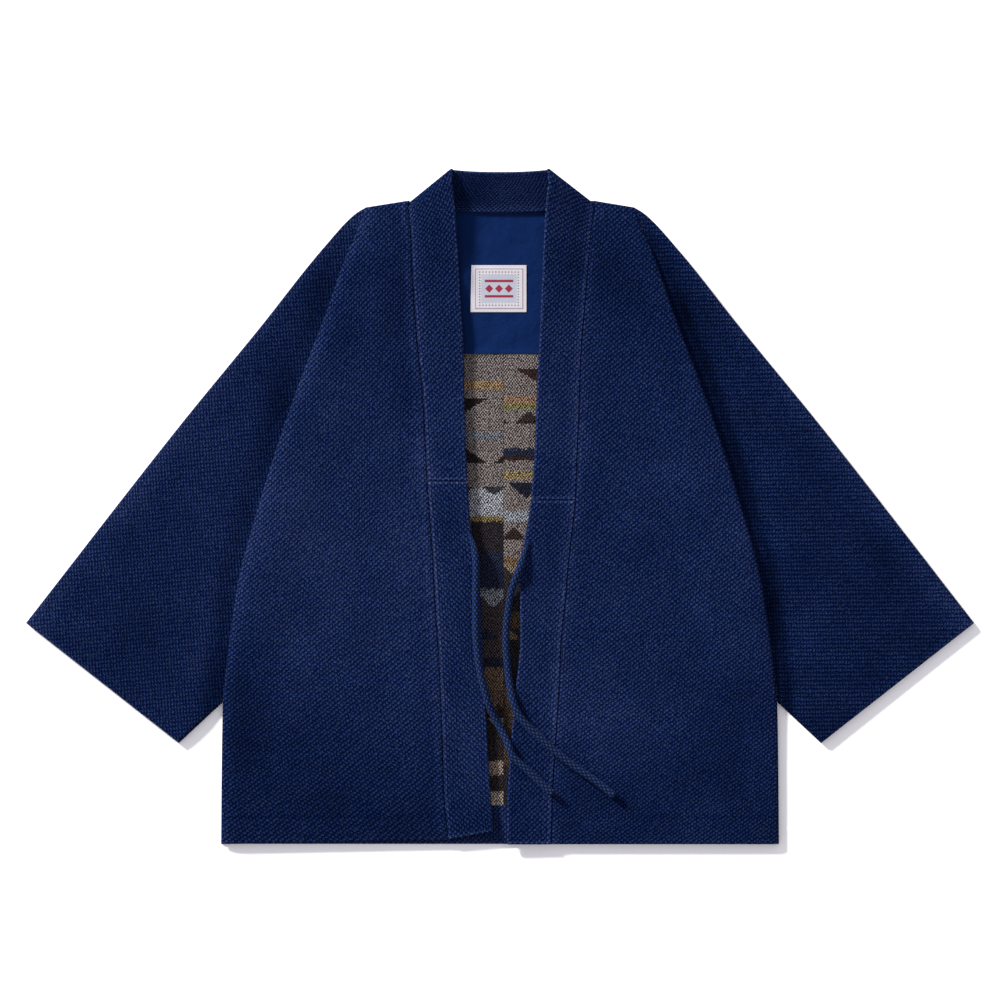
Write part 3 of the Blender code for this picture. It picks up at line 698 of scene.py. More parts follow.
WOOL_TWILL = 2.5
MOTIF_STEP = 2.2
STRIPE_RAG = 10.0
WOOL_STRAY = 2.2

# Half the step from triangle to triangle, against the width of one.
TRIANGLE_HALF_STEP = 0.6

# Noise of the wool, in turns per metre: ragged stripes, straying yarns, flecks.
RAG_SCALE = 500.0
FELT_SCALE = 240.0
FLECK_SCALE = 620.0


def patterned_wool(name, side):
    """Heather wool twill with woven stripes and triangles, dark and pale flecks all over."""
    material, tree, shader = new_material(name, 0.95, 0.05, 0.03, "#ffffff")
    place = add_node(tree, "TexCoord")
    position = add_node(tree, "SeparateXYZ", {0: place.outputs["Object"]})
    ragged = add_node(tree, "TexNoise",
                      {"Vector": place.outputs["Object"], "Scale": RAG_SCALE, "Detail": 1.0})
    level = add_node(tree, "Math",
                     {0: ragged, 1: STRIPE_RAG * MM, 2: position.outputs["Y"]},
                     operation="MULTIPLY_ADD")
    step_x = add_node(tree, "Math", {0: position, 1: MOTIF_STEP * MM}, operation="SNAP")
    step_y = add_node(tree, "Math",
                      {0: position.outputs["Y"], 1: MOTIF_STEP * MM}, operation="SNAP")
    top = STRIPES[side][0].y * MM
    bottom = (LINING_HEM_Y - 6) * MM
    down = add_node(tree, "MapRange",
                    {"Value": level, "From Min": top + STRIPE_RAG / 2 * MM,
                     "From Max": bottom + STRIPE_RAG / 2 * MM})
    stripes = add_node(tree, "ValToRGB", {"Fac": down})
    ramp = stripes.color_ramp
    ramp.interpolation = "CONSTANT"
    ramp.elements.remove(ramp.elements[1])
    ramp.elements[0].color = linear(STRIPES[side][0].colour)
    for stripe in STRIPES[side][1:]:
        element = ramp.elements.new((top - stripe.y * MM) / (top - bottom))
        element.color = linear(stripe.colour)
    ground = stripes.outputs["Color"]
    for row in TRIANGLES[side]:
        from_first = add_node(tree, "Math", {0: step_x, 1: -row.first * MM}, operation="ADD")
        half_step = row.wide * MM * TRIANGLE_HALF_STEP
        fold = add_node(tree, "Math", {0: from_first, 1: half_step}, operation="PINGPONG")
        rise = add_node(tree, "Math", {0: step_y, 1: row.y * MM}, operation="SUBTRACT")
        share = add_node(tree, "Math", {0: rise, 1: row.tall * MM}, operation="DIVIDE")
        reach = add_node(tree, "Math",
                         {0: share, 1: row.wide * MM / 2, 2: fold}, operation="MULTIPLY_ADD")
        narrow = add_node(tree, "Math", {0: reach, 1: row.wide * MM / 2}, operation="LESS_THAN")
        beyond_base = add_node(tree, "Math", {0: share, 1: 0.0}, operation="GREATER_THAN")
        inside = add_node(tree, "Math", {0: narrow, 1: beyond_base}, operation="MULTIPLY")
        ground = add_node(tree, "Mix",
                          {0: inside, 6: ground, 7: linear(row.colour)},
                          data_type="RGBA").outputs[2]
    felted = add_node(tree, "TexNoise",
                      {"Vector": place.outputs["Object"], "Scale": FELT_SCALE, "Detail": 1.0})
    centred = add_node(tree, "VectorMath",
                       {0: felted.outputs["Color"], 1: (0.5, 0.5, 0.5)}, operation="SUBTRACT")
    strayed = add_node(tree, "VectorMath",
                       {0: centred, 1: (WOOL_STRAY * MM, WOOL_STRAY * MM, 0.0),
                        2: place.outputs["Object"]}, operation="MULTIPLY_ADD")
    twill = []
    for lean in (1, -1):
        ribs = add_node(tree, "VectorMath",
                        {0: strayed, 1: (0.8, lean * 0.6, 0.0)}, operation="DOT_PRODUCT")
        turn = add_node(tree, "Math",
                        {0: ribs.outputs["Value"], 1: math.tau / (WOOL_TWILL * MM)},
                        operation="MULTIPLY")
        twill.append(add_node(tree, "Math", {0: turn}, operation="COSINE").outputs[0])
    crossing = add_node(tree, "Math", {0: twill[0], 1: twill[1]}, operation="ADD")
    flecks = add_node(tree, "TexNoise",
                      {"Vector": place.outputs["Object"], "Scale": FLECK_SCALE, "Detail": 1.0})
    speck = add_node(tree, "Math", {0: flecks, 1: 8.0, 2: crossing}, operation="MULTIPLY_ADD")
    light = add_node(tree, "MapRange",
                     {"Value": speck, "From Min": 3.0, "From Max": 6.0, "To Min": 0.02,
                      "To Max": 1.8})
    heather = add_node(tree, "Mix",
                       {0: 1.0, 6: ground, 7: light}, data_type="RGBA", blend_type="MULTIPLY")
    bump = add_node(tree, "Bump", {"Height": speck, "Distance": 0.0002, "Strength": 0.7})
    set_inputs(tree, shader, {"Base Color": heather.outputs[2], "Normal": bump})
    return material


def wool_place(side):
    """Place function of one half of the wool lining, from the middle seam to the side."""
    top = YOKE_HEM_Y - GAP * 0.5
    seam = LINING_SEAM_X + side * GAP * 0.5

    def place(i, j):
        y = mix(LINING_HEM_Y, top, j / 160)
        x = mix(seam, side * lining_edge(y), i / 60)
        top_z = LINING_TOP - line_at(WOOL_SEAM_DENT, x - seam)
        return (Vector((x, y, top_z)), Vector((x, y, ON_BACK))), (x, y), 0.0
    return place


for half, side in (("right", RIGHT), ("left", LEFT)):
    wool = lay_cloth("wool_lining_" + half, 61, 161, wool_place(side),
                     [patterned_wool("patterned wool " + half, side)])
    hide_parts("back_lining_" + half)


def facing_place(i, j):
    """Place function of the back hem's facing, turned up over the wool."""
    y = mix(HEM_Y + FACING_INSET, LINING_HEM_Y - GAP, j / 16)
    x = mix(-1, 1, i / 200) * lining_edge(y)
    top = ON_BACK + CLOTH
    drop = lip_at(FACING_EDGE, min(y - HEM_Y - FACING_INSET, LINING_HEM_Y - GAP - y))
    # The facing's colour is paler by FACING_PALER, and more at its pressed edges.
    wear_and_light = 0.35 * drop + FACING_PALER
    return (Vector((x, y, top - drop)), Vector((x, y, ON_BACK))), (x, y), wear_and_light


facing = lay_cloth("hem_facing_cloth", 201, 17, facing_place, [indigo_cotton])
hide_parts("back_hem_facing")


# ---- Neck label
# A small satin-woven label, sewn flat on the yoke by its four sides. It carries only a generic
# trim: a thin frame with dots in grey yarn, bars and diamonds in dark red yarn.

LABEL_CENTRE = (-1.1, 243.9)
LABEL_SIZE = (61.6, 52.6)
LABEL_THICKNESS = 0.8
LABEL_LEAN = 1.2
LABEL_SEAM = Line(2.2, 0.7, 0.35)
LABEL_EDGE = Lip(0.8, 0.3)

# The trim: a thin line and a row of dots, each at a distance from the label's edge and half as
# wide as its second number says, a pale field inside them, and in the middle two bars at a
# distance from the centre line with diamonds in steps between them.
TRIM_LINE = (4.2, 0.4)
TRIM_DOTS = (8.5, 2.1)
DOT_STEPS = (3.6, 3.1)
DOT_SIZE = 0.9
FIELD_EDGE = 10.8
BARS = (8.6, 1.4)
BARS_HALF = 16.0
DIAMOND_STEP = 5.5
DIAMOND_HALF = 4.6


def label_place(i, j):
    """Place function of the label, dipped along its seam."""
    x = mix(-0.5, 0.5, i / 60) * LABEL_SIZE[0] - LABEL_LEAN * (1 - i / 60) * (1 - j / 52)
    y = mix(-0.5, 0.5, j / 52) * LABEL_SIZE[1]
    edge = min(LABEL_SIZE[0] / 2 - abs(x), LABEL_SIZE[1] / 2 - abs(y))
    seam = line_at(LABEL_SEAM, edge) + lip_at(LABEL_EDGE, edge)
    on_yoke = (LABEL_CENTRE[0] + x, LABEL_CENTRE[1] + y)
    bottom = LINING_TOP + GAP + yoke_swell(*on_yoke)
    top = bottom + LABEL_THICKNESS - seam + unevenness(x, y, size=14.0, height=0.15)
    return (Vector((*on_yoke, top)), Vector((*on_yoke, bottom))), (x, y), 0.0


# Satin label cloth: off-white with a soft gloss, and the trim woven into it.
label_cloth, tree, shader = new_material("satin-woven label", 0.55, 0.3)
label_uv = add_node(tree, "UVMap", uv_map="weave")
spot = add_node(tree, "SeparateXYZ", {0: label_uv})
away_x = add_node(tree, "Math", {0: spot}, operation="ABSOLUTE")
away_y = add_node(tree, "Math", {0: spot.outputs["Y"]}, operation="ABSOLUTE")
to_side = add_node(tree, "Math", {0: LABEL_SIZE[0] / 2 * MM, 1: away_x}, operation="SUBTRACT")
to_end = add_node(tree, "Math", {0: LABEL_SIZE[1] / 2 * MM, 1: away_y}, operation="SUBTRACT")
border = add_node(tree, "Math", {0: to_side, 1: to_end}, operation="MINIMUM")
near_line = add_node(tree, "Math",
                     {0: border, 1: TRIM_LINE[0] * MM, 2: TRIM_LINE[1] * MM}, operation="COMPARE")
dots = add_node(tree, "VectorMath",
                {0: label_uv,
                 1: (math.tau / (DOT_STEPS[0] * MM), math.tau / (DOT_STEPS[1] * MM), 0.0)},
                operation="MULTIPLY")
dot_turns = add_node(tree, "SeparateXYZ", {0: dots})
dot_x = add_node(tree, "Math", {0: dot_turns}, operation="COSINE")
dot_y = add_node(tree, "Math", {0: dot_turns.outputs["Y"]}, operation="COSINE")
dot_sum = add_node(tree, "Math", {0: dot_x, 1: dot_y}, operation="ADD")
in_dot = add_node(tree, "Math", {0: dot_sum, 1: DOT_SIZE}, operation="GREATER_THAN")
in_frame = add_node(tree, "Math",
                    {0: border, 1: TRIM_DOTS[0] * MM, 2: TRIM_DOTS[1] * MM}, operation="COMPARE")
frame_dots = add_node(tree, "Math", {0: in_dot, 1: in_frame}, operation="MULTIPLY")
dark_yarn = add_node(tree, "Math", {0: frame_dots, 1: near_line}, operation="MAXIMUM")
diamond_fold = add_node(tree, "Math", {0: away_x, 1: DIAMOND_STEP * MM}, operation="PINGPONG")
diamond_reach = add_node(tree, "Math", {0: diamond_fold, 1: away_y}, operation="ADD")
in_diamond = add_node(tree, "Math",
                      {0: diamond_reach, 1: DIAMOND_HALF * MM}, operation="LESS_THAN")
bars = add_node(tree, "Math", {0: away_y, 1: BARS[0] * MM, 2: BARS[1] * MM}, operation="COMPARE")
in_middle = add_node(tree, "Math", {0: away_x, 1: BARS_HALF * MM}, operation="LESS_THAN")
motif = add_node(tree, "Math", {0: in_diamond, 1: bars}, operation="MAXIMUM")
red_parts = add_node(tree, "Math", {0: motif, 1: in_middle}, operation="MULTIPLY")
satin = add_node(tree, "TexNoise", {"Vector": label_uv, "Scale": 1300.0, "Detail": 1.0})
white = add_node(tree, "ValToRGB", {"Fac": satin})
white.color_ramp.elements[0].position = 0.3
white.color_ramp.elements[0].color = linear("#99979e")
white.color_ramp.elements[1].position = 0.7
white.color_ramp.elements[1].color = linear("#bbb8bf")
in_field = add_node(tree, "Math", {0: border, 1: FIELD_EDGE * MM}, operation="GREATER_THAN")
field = add_node(tree, "Mix",
                 {0: in_field, 6: white, 7: linear("#dde9f0")}, data_type="RGBA",
                 blend_type="MULTIPLY")
trimmed = add_node(tree, "Mix",
                   {0: dark_yarn, 6: field.outputs[2], 7: linear("#6b5e60")}, data_type="RGBA")
label_colour = add_node(tree, "Mix",
                        {0: red_parts, 6: trimmed.outputs[2], 7: linear("#7a1730")},
                        data_type="RGBA")
set_inputs(tree, shader, {"Base Color": label_colour.outputs[2]})

label = lay_cloth("label_cloth", 61, 53, label_place, [label_cloth])
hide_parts("neck_label")


# ---- Sleeves
# Each is one tube of the same cotton, flattened, with its fold along the top edge. Its open
# end is sewn into the armhole under the rolled edge of the front.

CUFF_TIP = (531.4, -130.8)
CUFF_CORNER = (359.8, -265.4)
SLEEVE_ROOT_TOP = 6.5
SLEEVE_PUFF = 1.2
SLEEVE_UNDER_FRONT = 1.4
UNDER_FRONT_Y = 318.0
CUFF_EASE = 40.0
CUFF_HEM = 26.0
CUFF_STITCHES = Line(CUFF_HEM, 1.6, 0.35)
CUFF_EDGE = Lip(2.5, 0.8)
# Paler at the cuff's edge and along the top fold: partly rubbed cloth, partly painted highlight
# where these round edges face the lamp.
CUFF_WEAR_AND_HIGHLIGHT = Line(0.0, 4.0, 0.45)
TOP_FOLD_WEAR_AND_HIGHLIGHT = Line(0.0, 24.0, 0.35)

TopEdge = namedtuple("TopEdge", "x y")
SLEEVE_TOP = (
    TopEdge(151.1, 335.5),
    TopEdge(163.0, 328.2),
    TopEdge(200.5, 288.0),
    TopEdge(271.0, 199.2),
    TopEdge(358.4, 91.8),
    TopEdge(531.4, -130.8),
)

# Direction that the columns and the rows of grains step in, in degrees from +X, and the
# spacing of both against that of the fronts.
Grain = namedtuple("Grain", "columns rows closer")
SLEEVE_GRAIN = {RIGHT: Grain(41, 148, 1.08), LEFT: Grain(-33, 37, 1.12)}

# How much darker each whole sleeve's colour is than the fronts'. Close to the front's rolled edge
# a sleeve sinks and, below the shoulder, carries a painted shadow of that edge.
SLEEVE_TONE = {RIGHT: -0.11, LEFT: -0.33}
SINK_BY_FRONT = {RIGHT: Line(10, 14, 1.3), LEFT: Line(13, 8, 1.9)}
PAINTED_SHADOW_BY_FRONT = {RIGHT: Line(10, 14, 0.2), LEFT: Line(13, 8, 0.35)}
PAINTED_SHADOW_BELOW_Y = 290.0
PAINTED_SHADOW_EASE = 80.0

sleeve_top_y = curve(SLEEVE_TOP, "y")

# Soft creases of sleeves and fronts: middle, direction in degrees, half length, half width and
# height. Like the patches of paler and darker colour they end at PATCH_REACH.
Soft = namedtuple("Soft", "x y turn long wide rise")
SOFT_CREASES = (
    Soft(-425, -93, 100, 60, 15, 1.0), Soft(-380, -4, 112, 70, 16, 0.9),
    Soft(-335, -125, 84, 55, 12, -1.1), Soft(-300, 120, 118, 60, 12, -0.6),
    Soft(330, 60, 66, 80, 14, 0.8), Soft(400, -60, 74, 70, 15, -0.8),
    Soft(440, -120, 60, 60, 13, 0.7), Soft(-215, 20, 62, 120, 16, 0.9),
    Soft(-170, -60, 40, 90, 22, 0.7), Soft(-120, -190, 75, 110, 20, -0.6),
    Soft(-250, -230, 84, 100, 15, -0.7), Soft(-105, 40, 86, 130, 9, -0.4),
    Soft(-140, 190, 88, 80, 16, 1.8), Soft(-205, -217, -30, 120, 42, 3.2),
    Soft(-210, -165, 92, 50, 10, 0.7), Soft(-160, 200, 66, 110, 14, -0.5),
    Soft(130, 230, 100, 90, 12, -0.5), Soft(148, 235, 96, 60, 10, -0.7),
    Soft(190, 30, -12, 50, 12, 1.0), Soft(180, 40, 118, 110, 18, 0.7),
    Soft(120, -40, 96, 120, 12, -0.5), Soft(235, -150, 100, 120, 16, 0.7),
    Soft(150, -250, 70, 90, 20, 0.6), Soft(270, -290, 92, 70, 14, -0.5),
)


def soft_crease(x, y):
    """Height added by the soft creases."""
    total = 0.0
    for crease in SOFT_CREASES:
        turn = math.radians(crease.turn)
        along = (x - crease.x) * math.cos(turn) + (y - crease.y) * math.sin(turn)
        aside = (y - crease.y) * math.cos(turn) - (x - crease.x) * math.sin(turn)
        along /= crease.long
        aside /= crease.wide
        if abs(along) < PATCH_REACH and abs(aside) < PATCH_REACH:
            total += crease.rise * math.exp(-along * along - aside * aside)
    return total


def sleeve_point(share, across):
    """Plan position on a sleeve: share from armhole to cuff, across from top edge to underarm."""
    y = mix(SLEEVE_TOP[0].y, ARMPIT_Y, across)
    under_front = SLEEVE_UNDER_FRONT * soften((y - UNDER_FRONT_Y) / 12)
    point = mix(Vector((armhole_x(y) - under_front, y)),
                mix(Vector(CUFF_TIP), Vector(CUFF_CORNER), across), share)
    top_x = mix(SLEEVE_TOP[0].x, CUFF_TIP[0], share)
    straight_y = mix(SLEEVE_TOP[0].y, CUFF_TIP[1], share)
    point.y += (sleeve_top_y(top_x) - straight_y) * (1 - across) ** 2
    return point


def sleeve_place(side, shares, ring):
    """Place function of a sleeve: ring gives positions round its flattened section."""
    grain = SLEEVE_GRAIN[side]
    to_columns, to_rows = [
        Vector((math.cos(math.radians(turn)), math.sin(math.radians(turn)))) * grain.closer
        for turn in (grain.columns, grain.rows)]
    length = (Vector(CUFF_TIP) - Vector(SLEEVE_TOP[0])).length

    def place(i, j):
        share = shares[j]
        width = (sleeve_point(share, 1.0) - sleeve_point(share, 0.0)).length
        # Swollen from a fifth of its length on, flatter again towards the cuff.
        puff = SLEEVE_PUFF * (soften((share - 0.18) / 0.3) - 0.6 * soften((share - 0.75) / 0.25))
        height = SLEEVE_ROOT_TOP + puff
        from_cuff = (1 - share) * length
        skins = []
        for inset in (0.0, CLOTH):
            across, level = ring[i](width, height / 2, inset)
            plan = sleeve_point(share, across)
            z = height / 2 + (height / 2 - inset) * level
            flat = abs(level) ** 4
            x = side * plan.x
            if level > 0:
                swell = unevenness(x, plan.y, size=55.0, height=0.8) + soft_crease(x, plan.y)
                swell *= soften(share / 0.2) * soften(from_cuff / CUFF_EASE)
                swell -= line_at(SINK_BY_FRONT[side], plan.x - fold_x(plan.y))
                swell -= line_at(CUFF_STITCHES, from_cuff) + lip_at(CUFF_EDGE, from_cuff)
                z += swell * flat
            skins.append(Vector((x, plan.y, z)))
        across = ring[i](width, height / 2, 0.0)[0]
        plan = sleeve_point(share, across)
        wear_and_light = SLEEVE_TONE[side] + dye_and_painted_light(side * plan.x, plan.y)
        # Painted shadow of the front's rolled edge on the sleeve, fading out towards the shoulder.
        wear_and_light -= (line_at(PAINTED_SHADOW_BY_FRONT[side], plan.x - fold_x(plan.y))
                 * soften((PAINTED_SHADOW_BELOW_Y - plan.y) / PAINTED_SHADOW_EASE))
        # Paler cuff edge and top fold: partly wear, partly painted highlight.
        wear_and_light += line_at(CUFF_WEAR_AND_HIGHLIGHT, from_cuff) + line_at(TOP_FOLD_WEAR_AND_HIGHLIGHT, across * width)
        spot = skins[0].xy
        return skins, (spot.dot(to_columns), spot.dot(to_rows)), wear_and_light
    return place


def sleeve_ring(steps):
    """Positions round a flattened section, as functions of its width, radius and inset."""
    def turned(angle, far):
        def at(width, radius, inset):
            out = inset + (radius - inset) * (1 - math.cos(angle))
            across = out / width
            return (1 - across if far else across), math.sin(angle)
        return at

    def level(share, up):
        def at(width, radius, inset):
            return mix(radius / width, 1 - radius / width, share), up
        return at

    turns = [math.radians(angle) for angle in (0, 15, 30, 45, 60, 75)]
    ring = [turned(a, False) for a in turns]
    ring += [level(i / steps, 1.0) for i in range(steps + 1)]
    ring += [turned(a, True) for a in reversed(turns)]
    ring += [turned(-a, True) for a in turns[1:]]
    ring += [level(1 - i / steps, -1.0) for i in range(steps + 1)]
    ring += [turned(-a, False) for a in reversed(turns)]
    return ring


sleeve_shares = [0.0, 0.004, 0.01] + spread(0.018, 0.985, 125) + [0.99, 0.994, 0.997, 1.0]
for half, side in (("right", RIGHT), ("left", LEFT)):
    ring = sleeve_ring(110)
    sleeve = lay_cloth("sleeve_cloth_" + half, len(ring), len(sleeve_shares),
                       sleeve_place(side, sleeve_shares, ring), [indigo_cotton], wrap=True)
    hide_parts("sleeve_" + half)


# ---- Fronts
# Each front is one panel of the same cotton. Its side rolls over the sleeve and its hem is
# turned up, so that both edges are round and a little raised.

SHOULDER_BLEND_Y = 300.0
TUCK_END_Y = -187.0
TURN_UP_Y = -335.0
HEM_BLEND_Y = -345.0
HEM_CORNER_RIGHT_Y = -373.6
HEM_LINE = 31.0
FRONT_TOP = 8.8
ON_SLEEVE = SLEEVE_ROOT_TOP + GAP
ON_HEM_FACING = ON_BACK + CLOTH + GAP
ROLL = 3.0
WALL = 3.6
WALL_EASE = 4.0
TURN_UP_EASE = 3.0
SWELL_FLAT = 24.0
SWELL_END = 90.0
FAR_FROM_HEM = 999.0

# Over these distances creases fade out towards a front's side and seam, its shoulder, its hem.
SIDE_EASE = 30.0
SHOULDER_EASE = 25.0
HEM_EASE = 20.0

# The rolled side edge drops below its crest, and less where it lies on the back alone.
ROLLED_EDGE = {RIGHT: Lip(19, 3.2), LEFT: Lip(14, 2.4)}
LOW_EDGE_DROP = 1.6
# A painted highlight along the right front's rolled edge, on the side that faces the lamp.
ROLL_PAINTED_HIGHLIGHT = {RIGHT: Line(0.0, 11.0, 0.25), LEFT: Line(0.0, 11.0, 0.0)}

# The hem's stitched line with painted shade along its groove, the hem's edge paler partly from
# wear and partly as a painted highlight, and the seam of the collar band: its edge, ridge and worn
# cloth.
HEM_STITCHES = Line(HEM_LINE, 1.4, 0.8)
HEM_STITCH_PAINTED_SHADE = Line(HEM_LINE, 1.2, -0.2)
HEM_WEAR_AND_HIGHLIGHT = Line(0.0, 3.0, 0.3)
SEAM_EDGE = Lip(1.1, 0.8)
SEAM_RIDGE = Line(3.6, 2.5, 0.6)
SEAM_WEAR = Line(3.0, 7.5, 0.22)

# Steps of the mesh over a rolled edge.
ROLL_STEPS = (0.0, 0.2, 0.5, 0.9, 1.4, 2.0, 2.6, ROLL)

# Collar band: where its seam and its free edge lie, and the height of its middle at the edge.
Band = namedtuple("Band", "seam_y seam_x edge_y edge_x edge_z")
BANDS = {
    RIGHT: (
        Band(335, 102.0, 363, 54.0, 21.2),
        Band(325, 101.0, 350, 51.6, 18.8),
        Band(300, 99.0, 316, 48.8, 16.0),
        Band(270, 98.0, 279, 46.6, 14.0),
        Band(232, 96.0, 232, 44.2, 12.6),
        Band(176, 91.3, 176, 40.8, 11.0),
        Band(119, 85.7, 119, 39.8, 9.2),
        Band(54, 82.3, 54, 37.5, 10.8),
        Band(7, 79.6, 7, 35.3, 11.0),
        Band(-30, 76.7, -30, 31.5, 10.5),
        Band(-58, 74.8, -58, 23.5, 10.0),
        Band(-104, 72.2, -104, 21.8, 9.6),
        Band(-172, 67.9, -172, 18.5, 9.0),
        Band(-240, 64.7, -240, 15.1, 9.0),
        Band(-321, 62.2, -321, 10.6, 9.2),
        Band(-373.6, 57.7, -364.6, 7.7, 10.6),
    ),
    LEFT: (
        Band(335, 104.0, 363, 54.6, 21.2),
        Band(325, 102.8, 350, 52.6, 18.8),
        Band(300, 100.4, 316, 50.0, 16.0),
        Band(270, 98.0, 279, 48.4, 13.8),
        Band(232, 94.6, 232, 46.5, 12.0),
        Band(176, 90.2, 176, 43.6, 10.8),
        Band(119, 87.9, 119, 40.9, 10.0),
        Band(63, 85.7, 63, 38.6, 10.0),
        Band(7, 83.4, 7, 34.5, 10.2),
        Band(-39, 78.6, -39, 27.0, 10.4),
        Band(-66, 75.6, -66, 21.5, 10.0),
        Band(-105, 72.3, -105, 22.5, 9.6),
        Band(-150, 67.8, -150, 23.0, 9.2),
        Band(-201, 65.5, -201, 18.0, 9.0),
        Band(-252, 62.2, -252, 13.5, 9.0),
        Band(-334, 57.5, -334, 8.4, 9.0),
        Band(-378.6, 56.6, -378.6, 8.4, 8.6),
    ),
}

BAND_CURVES = {side: {column: curve(table, column) for column in Band._fields[1:]}
               for side, table in BANDS.items()}


def rounding(distance, radius):
    """Height of a round edge, 1 beyond its radius and close to 0 at its very edge."""
    inside = 1.0 - min(max(distance, 0.0) / radius, 1.0)
    return max(math.sqrt(1.0 - inside * inside), 0.05)


def front_threads(side, x, y):
    """Position along weft and warp: the cloth is drawn out of square towards its hem."""
    low = min(y + 20.0, 0.0)
    warp = 1.02 * y - 0.00032 * low * low
    if side == RIGHT:
        return 1.04 * x + 0.0007 * x * low - 0.0006 * low * low, warp
    return 0.97 * x - 0.07 * y, warp + 0.05 * x


Row = namedtuple("Row", "seam_y edge_y from_shoulder from_hem")


def front_rows(side):
    """Sections of a front from the shoulder edge to the hem."""
    rows = []
    blend = (SHOULDER_TIP_Y - SHOULDER_BLEND_Y) / (SHOULDER_NECK_Y - SHOULDER_BLEND_Y)
    for down in ROLL_STEPS + (3.6, 5.0, 7.6, 10.5, 14, 18, 22, 26, 30, 34, 38):
        rows.append(Row(SHOULDER_NECK_Y - down, SHOULDER_TIP_Y - down * blend, down,
                        FAR_FROM_HEM))
    for y in spread(SHOULDER_BLEND_Y, HEM_BLEND_Y, 216):
        rows.append(Row(y, y, SHOULDER_NECK_Y - y, y - HEM_Y))
    seam_hem = HEM_CORNER_RIGHT_Y if side == RIGHT else HEM_Y
    blend = (HEM_BLEND_Y - seam_hem) / (HEM_BLEND_Y - HEM_Y)
    for up in (30, 27, 24, 20, 16, 12, 9, 6, 4.5, 3.6) + ROLL_STEPS[::-1]:
        edge_y = HEM_Y + up
        rows.append(Row(HEM_BLEND_Y + (edge_y - HEM_BLEND_Y) * blend, edge_y,
                        SHOULDER_NECK_Y - edge_y, up))
    return rows


def side_floor(edge_y):
    """Lowest height that a front's rolled side edge reaches: on the sleeve, or on the back."""
    on_sleeve = soften((SHOULDER_BLEND_Y + 9 - edge_y) / 9) * soften((edge_y - TUCK_END_Y) / 9)
    return mix(ON_BACK, ON_SLEEVE, on_sleeve)


def edge_drop(side, y, from_side):
    """How much lower than its crest a rolled side edge is, most at the very edge."""
    on_sleeve = (side_floor(y) - ON_BACK) / (ON_SLEEVE - ON_BACK)
    drop = mix(LOW_EDGE_DROP, ROLLED_EDGE[side].drop, on_sleeve)
    return drop * (1 - min(from_side / ROLLED_EDGE[side].wide, 1.0)) ** 2


def seam_waver(side, y):
    """Uneven height of the ridge along a hand-guided seam, around 1."""
    return 1.0 + 0.9 * noise.noise(Vector((y / 11, side * 3.1, 0.6)))


# Columns of a front: distances from its side edge, then shares of the rest of its width.
BY_SIDE = ROLL_STEPS + (WALL, 5.0, 6.5, 8.0, 10, 12.5, 15, 18, 21, 24, 27)
ACROSS = [0.03, 0.05] + spread(0.07, 0.95, 62) + [0.962, 0.974, 0.983, 0.99, 0.995, 1.0]


def front_place(side, rows):
    """Place function of a front, from the side edge to the seam of the collar band."""
    def place(i, j):
        row = rows[j]
        wall = max(tuck(row.edge_y), WALL)
        start = Vector((fold_x(row.edge_y), row.edge_y))
        end = Vector((BAND_CURVES[side]["seam_x"](row.seam_y) + GAP, row.seam_y))
        width = (end - start).length
        if i < len(BY_SIDE):
            from_side = BY_SIDE[i]
        else:
            from_side = mix(BY_SIDE[-1], width, ACROSS[i - len(BY_SIDE)])
        from_seam = width - from_side
        plan = mix(start, end, from_side / width)
        x = side * plan.x
        crest = crest_z[side](row.edge_y) - edge_drop(side, row.edge_y, from_side)
        swell = 1 - soften((from_side - SWELL_FLAT) / (SWELL_END - SWELL_FLAT))
        inner = soften(from_side / SIDE_EASE) * soften(from_seam / SIDE_EASE)
        inner *= soften(row.from_shoulder / SHOULDER_EASE)
        inner *= soften((row.from_hem - HEM_LINE) / HEM_EASE)
        creased = soft_crease(x, plan.y) + unevenness(x, plan.y, size=45.0, height=0.7)
        roof = mix(FRONT_TOP, crest, swell) + creased * inner
        edges = rounding(from_side, ROLL) * rounding(row.from_shoulder, ROLL)
        edges *= rounding(row.from_hem, ROLL)
        thin = roof - CLOTH
        thick = 1 - soften((from_side - wall) / WALL_EASE)
        floor = mix(thin, side_floor(row.edge_y), thick)
        over_shoulder = 1 - soften((row.from_shoulder - ROLL) / WALL_EASE)
        if row.from_shoulder <= WALL + WALL_EASE:
            floor = min(floor, mix(thin, ON_BACK, over_shoulder))
        turned_up = soften((TURN_UP_Y - HEM_Y - row.from_hem) / TURN_UP_EASE)
        if turned_up > 0:
            floor = min(floor, mix(thin, ON_HEM_FACING, turned_up))
        middle = (roof + floor) / 2
        half = (roof - floor) / 2 * mix(1.0, edges, max(thick, over_shoulder, turned_up))
        waver = seam_waver(side, plan.y)
        relief = waver * line_at(SEAM_RIDGE, from_seam - waver) - lip_at(SEAM_EDGE, from_seam)
        relief -= line_at(HEM_STITCHES, row.from_hem)
        upper = Vector((x, plan.y, middle + half + relief))
        lower = Vector((x, plan.y, middle - half))
        # Patches of dye and painted light and shade, and the painted highlight on the rolled edge.
        wear_and_light = dye_and_painted_light(x, plan.y) + line_at(ROLL_PAINTED_HIGHLIGHT[side], from_side)
        wear_and_light += waver * line_at(SEAM_WEAR, from_seam)
        # Hem edge: wear and painted highlight; stitched line: painted shade.
        wear_and_light += line_at(HEM_WEAR_AND_HIGHLIGHT, row.from_hem) + line_at(HEM_STITCH_PAINTED_SHADE, row.from_hem)
        return (upper, lower), front_threads(side, x, plan.y), wear_and_light
    return place


for half, side in (("right", RIGHT), ("left", LEFT)):
    rows = front_rows(side)
    front = lay_cloth("front_cloth_" + half, len(BY_SIDE) + len(ACROSS), len(rows),
                      front_place(side, rows), [indigo_cotton])
    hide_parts("front_" + half)


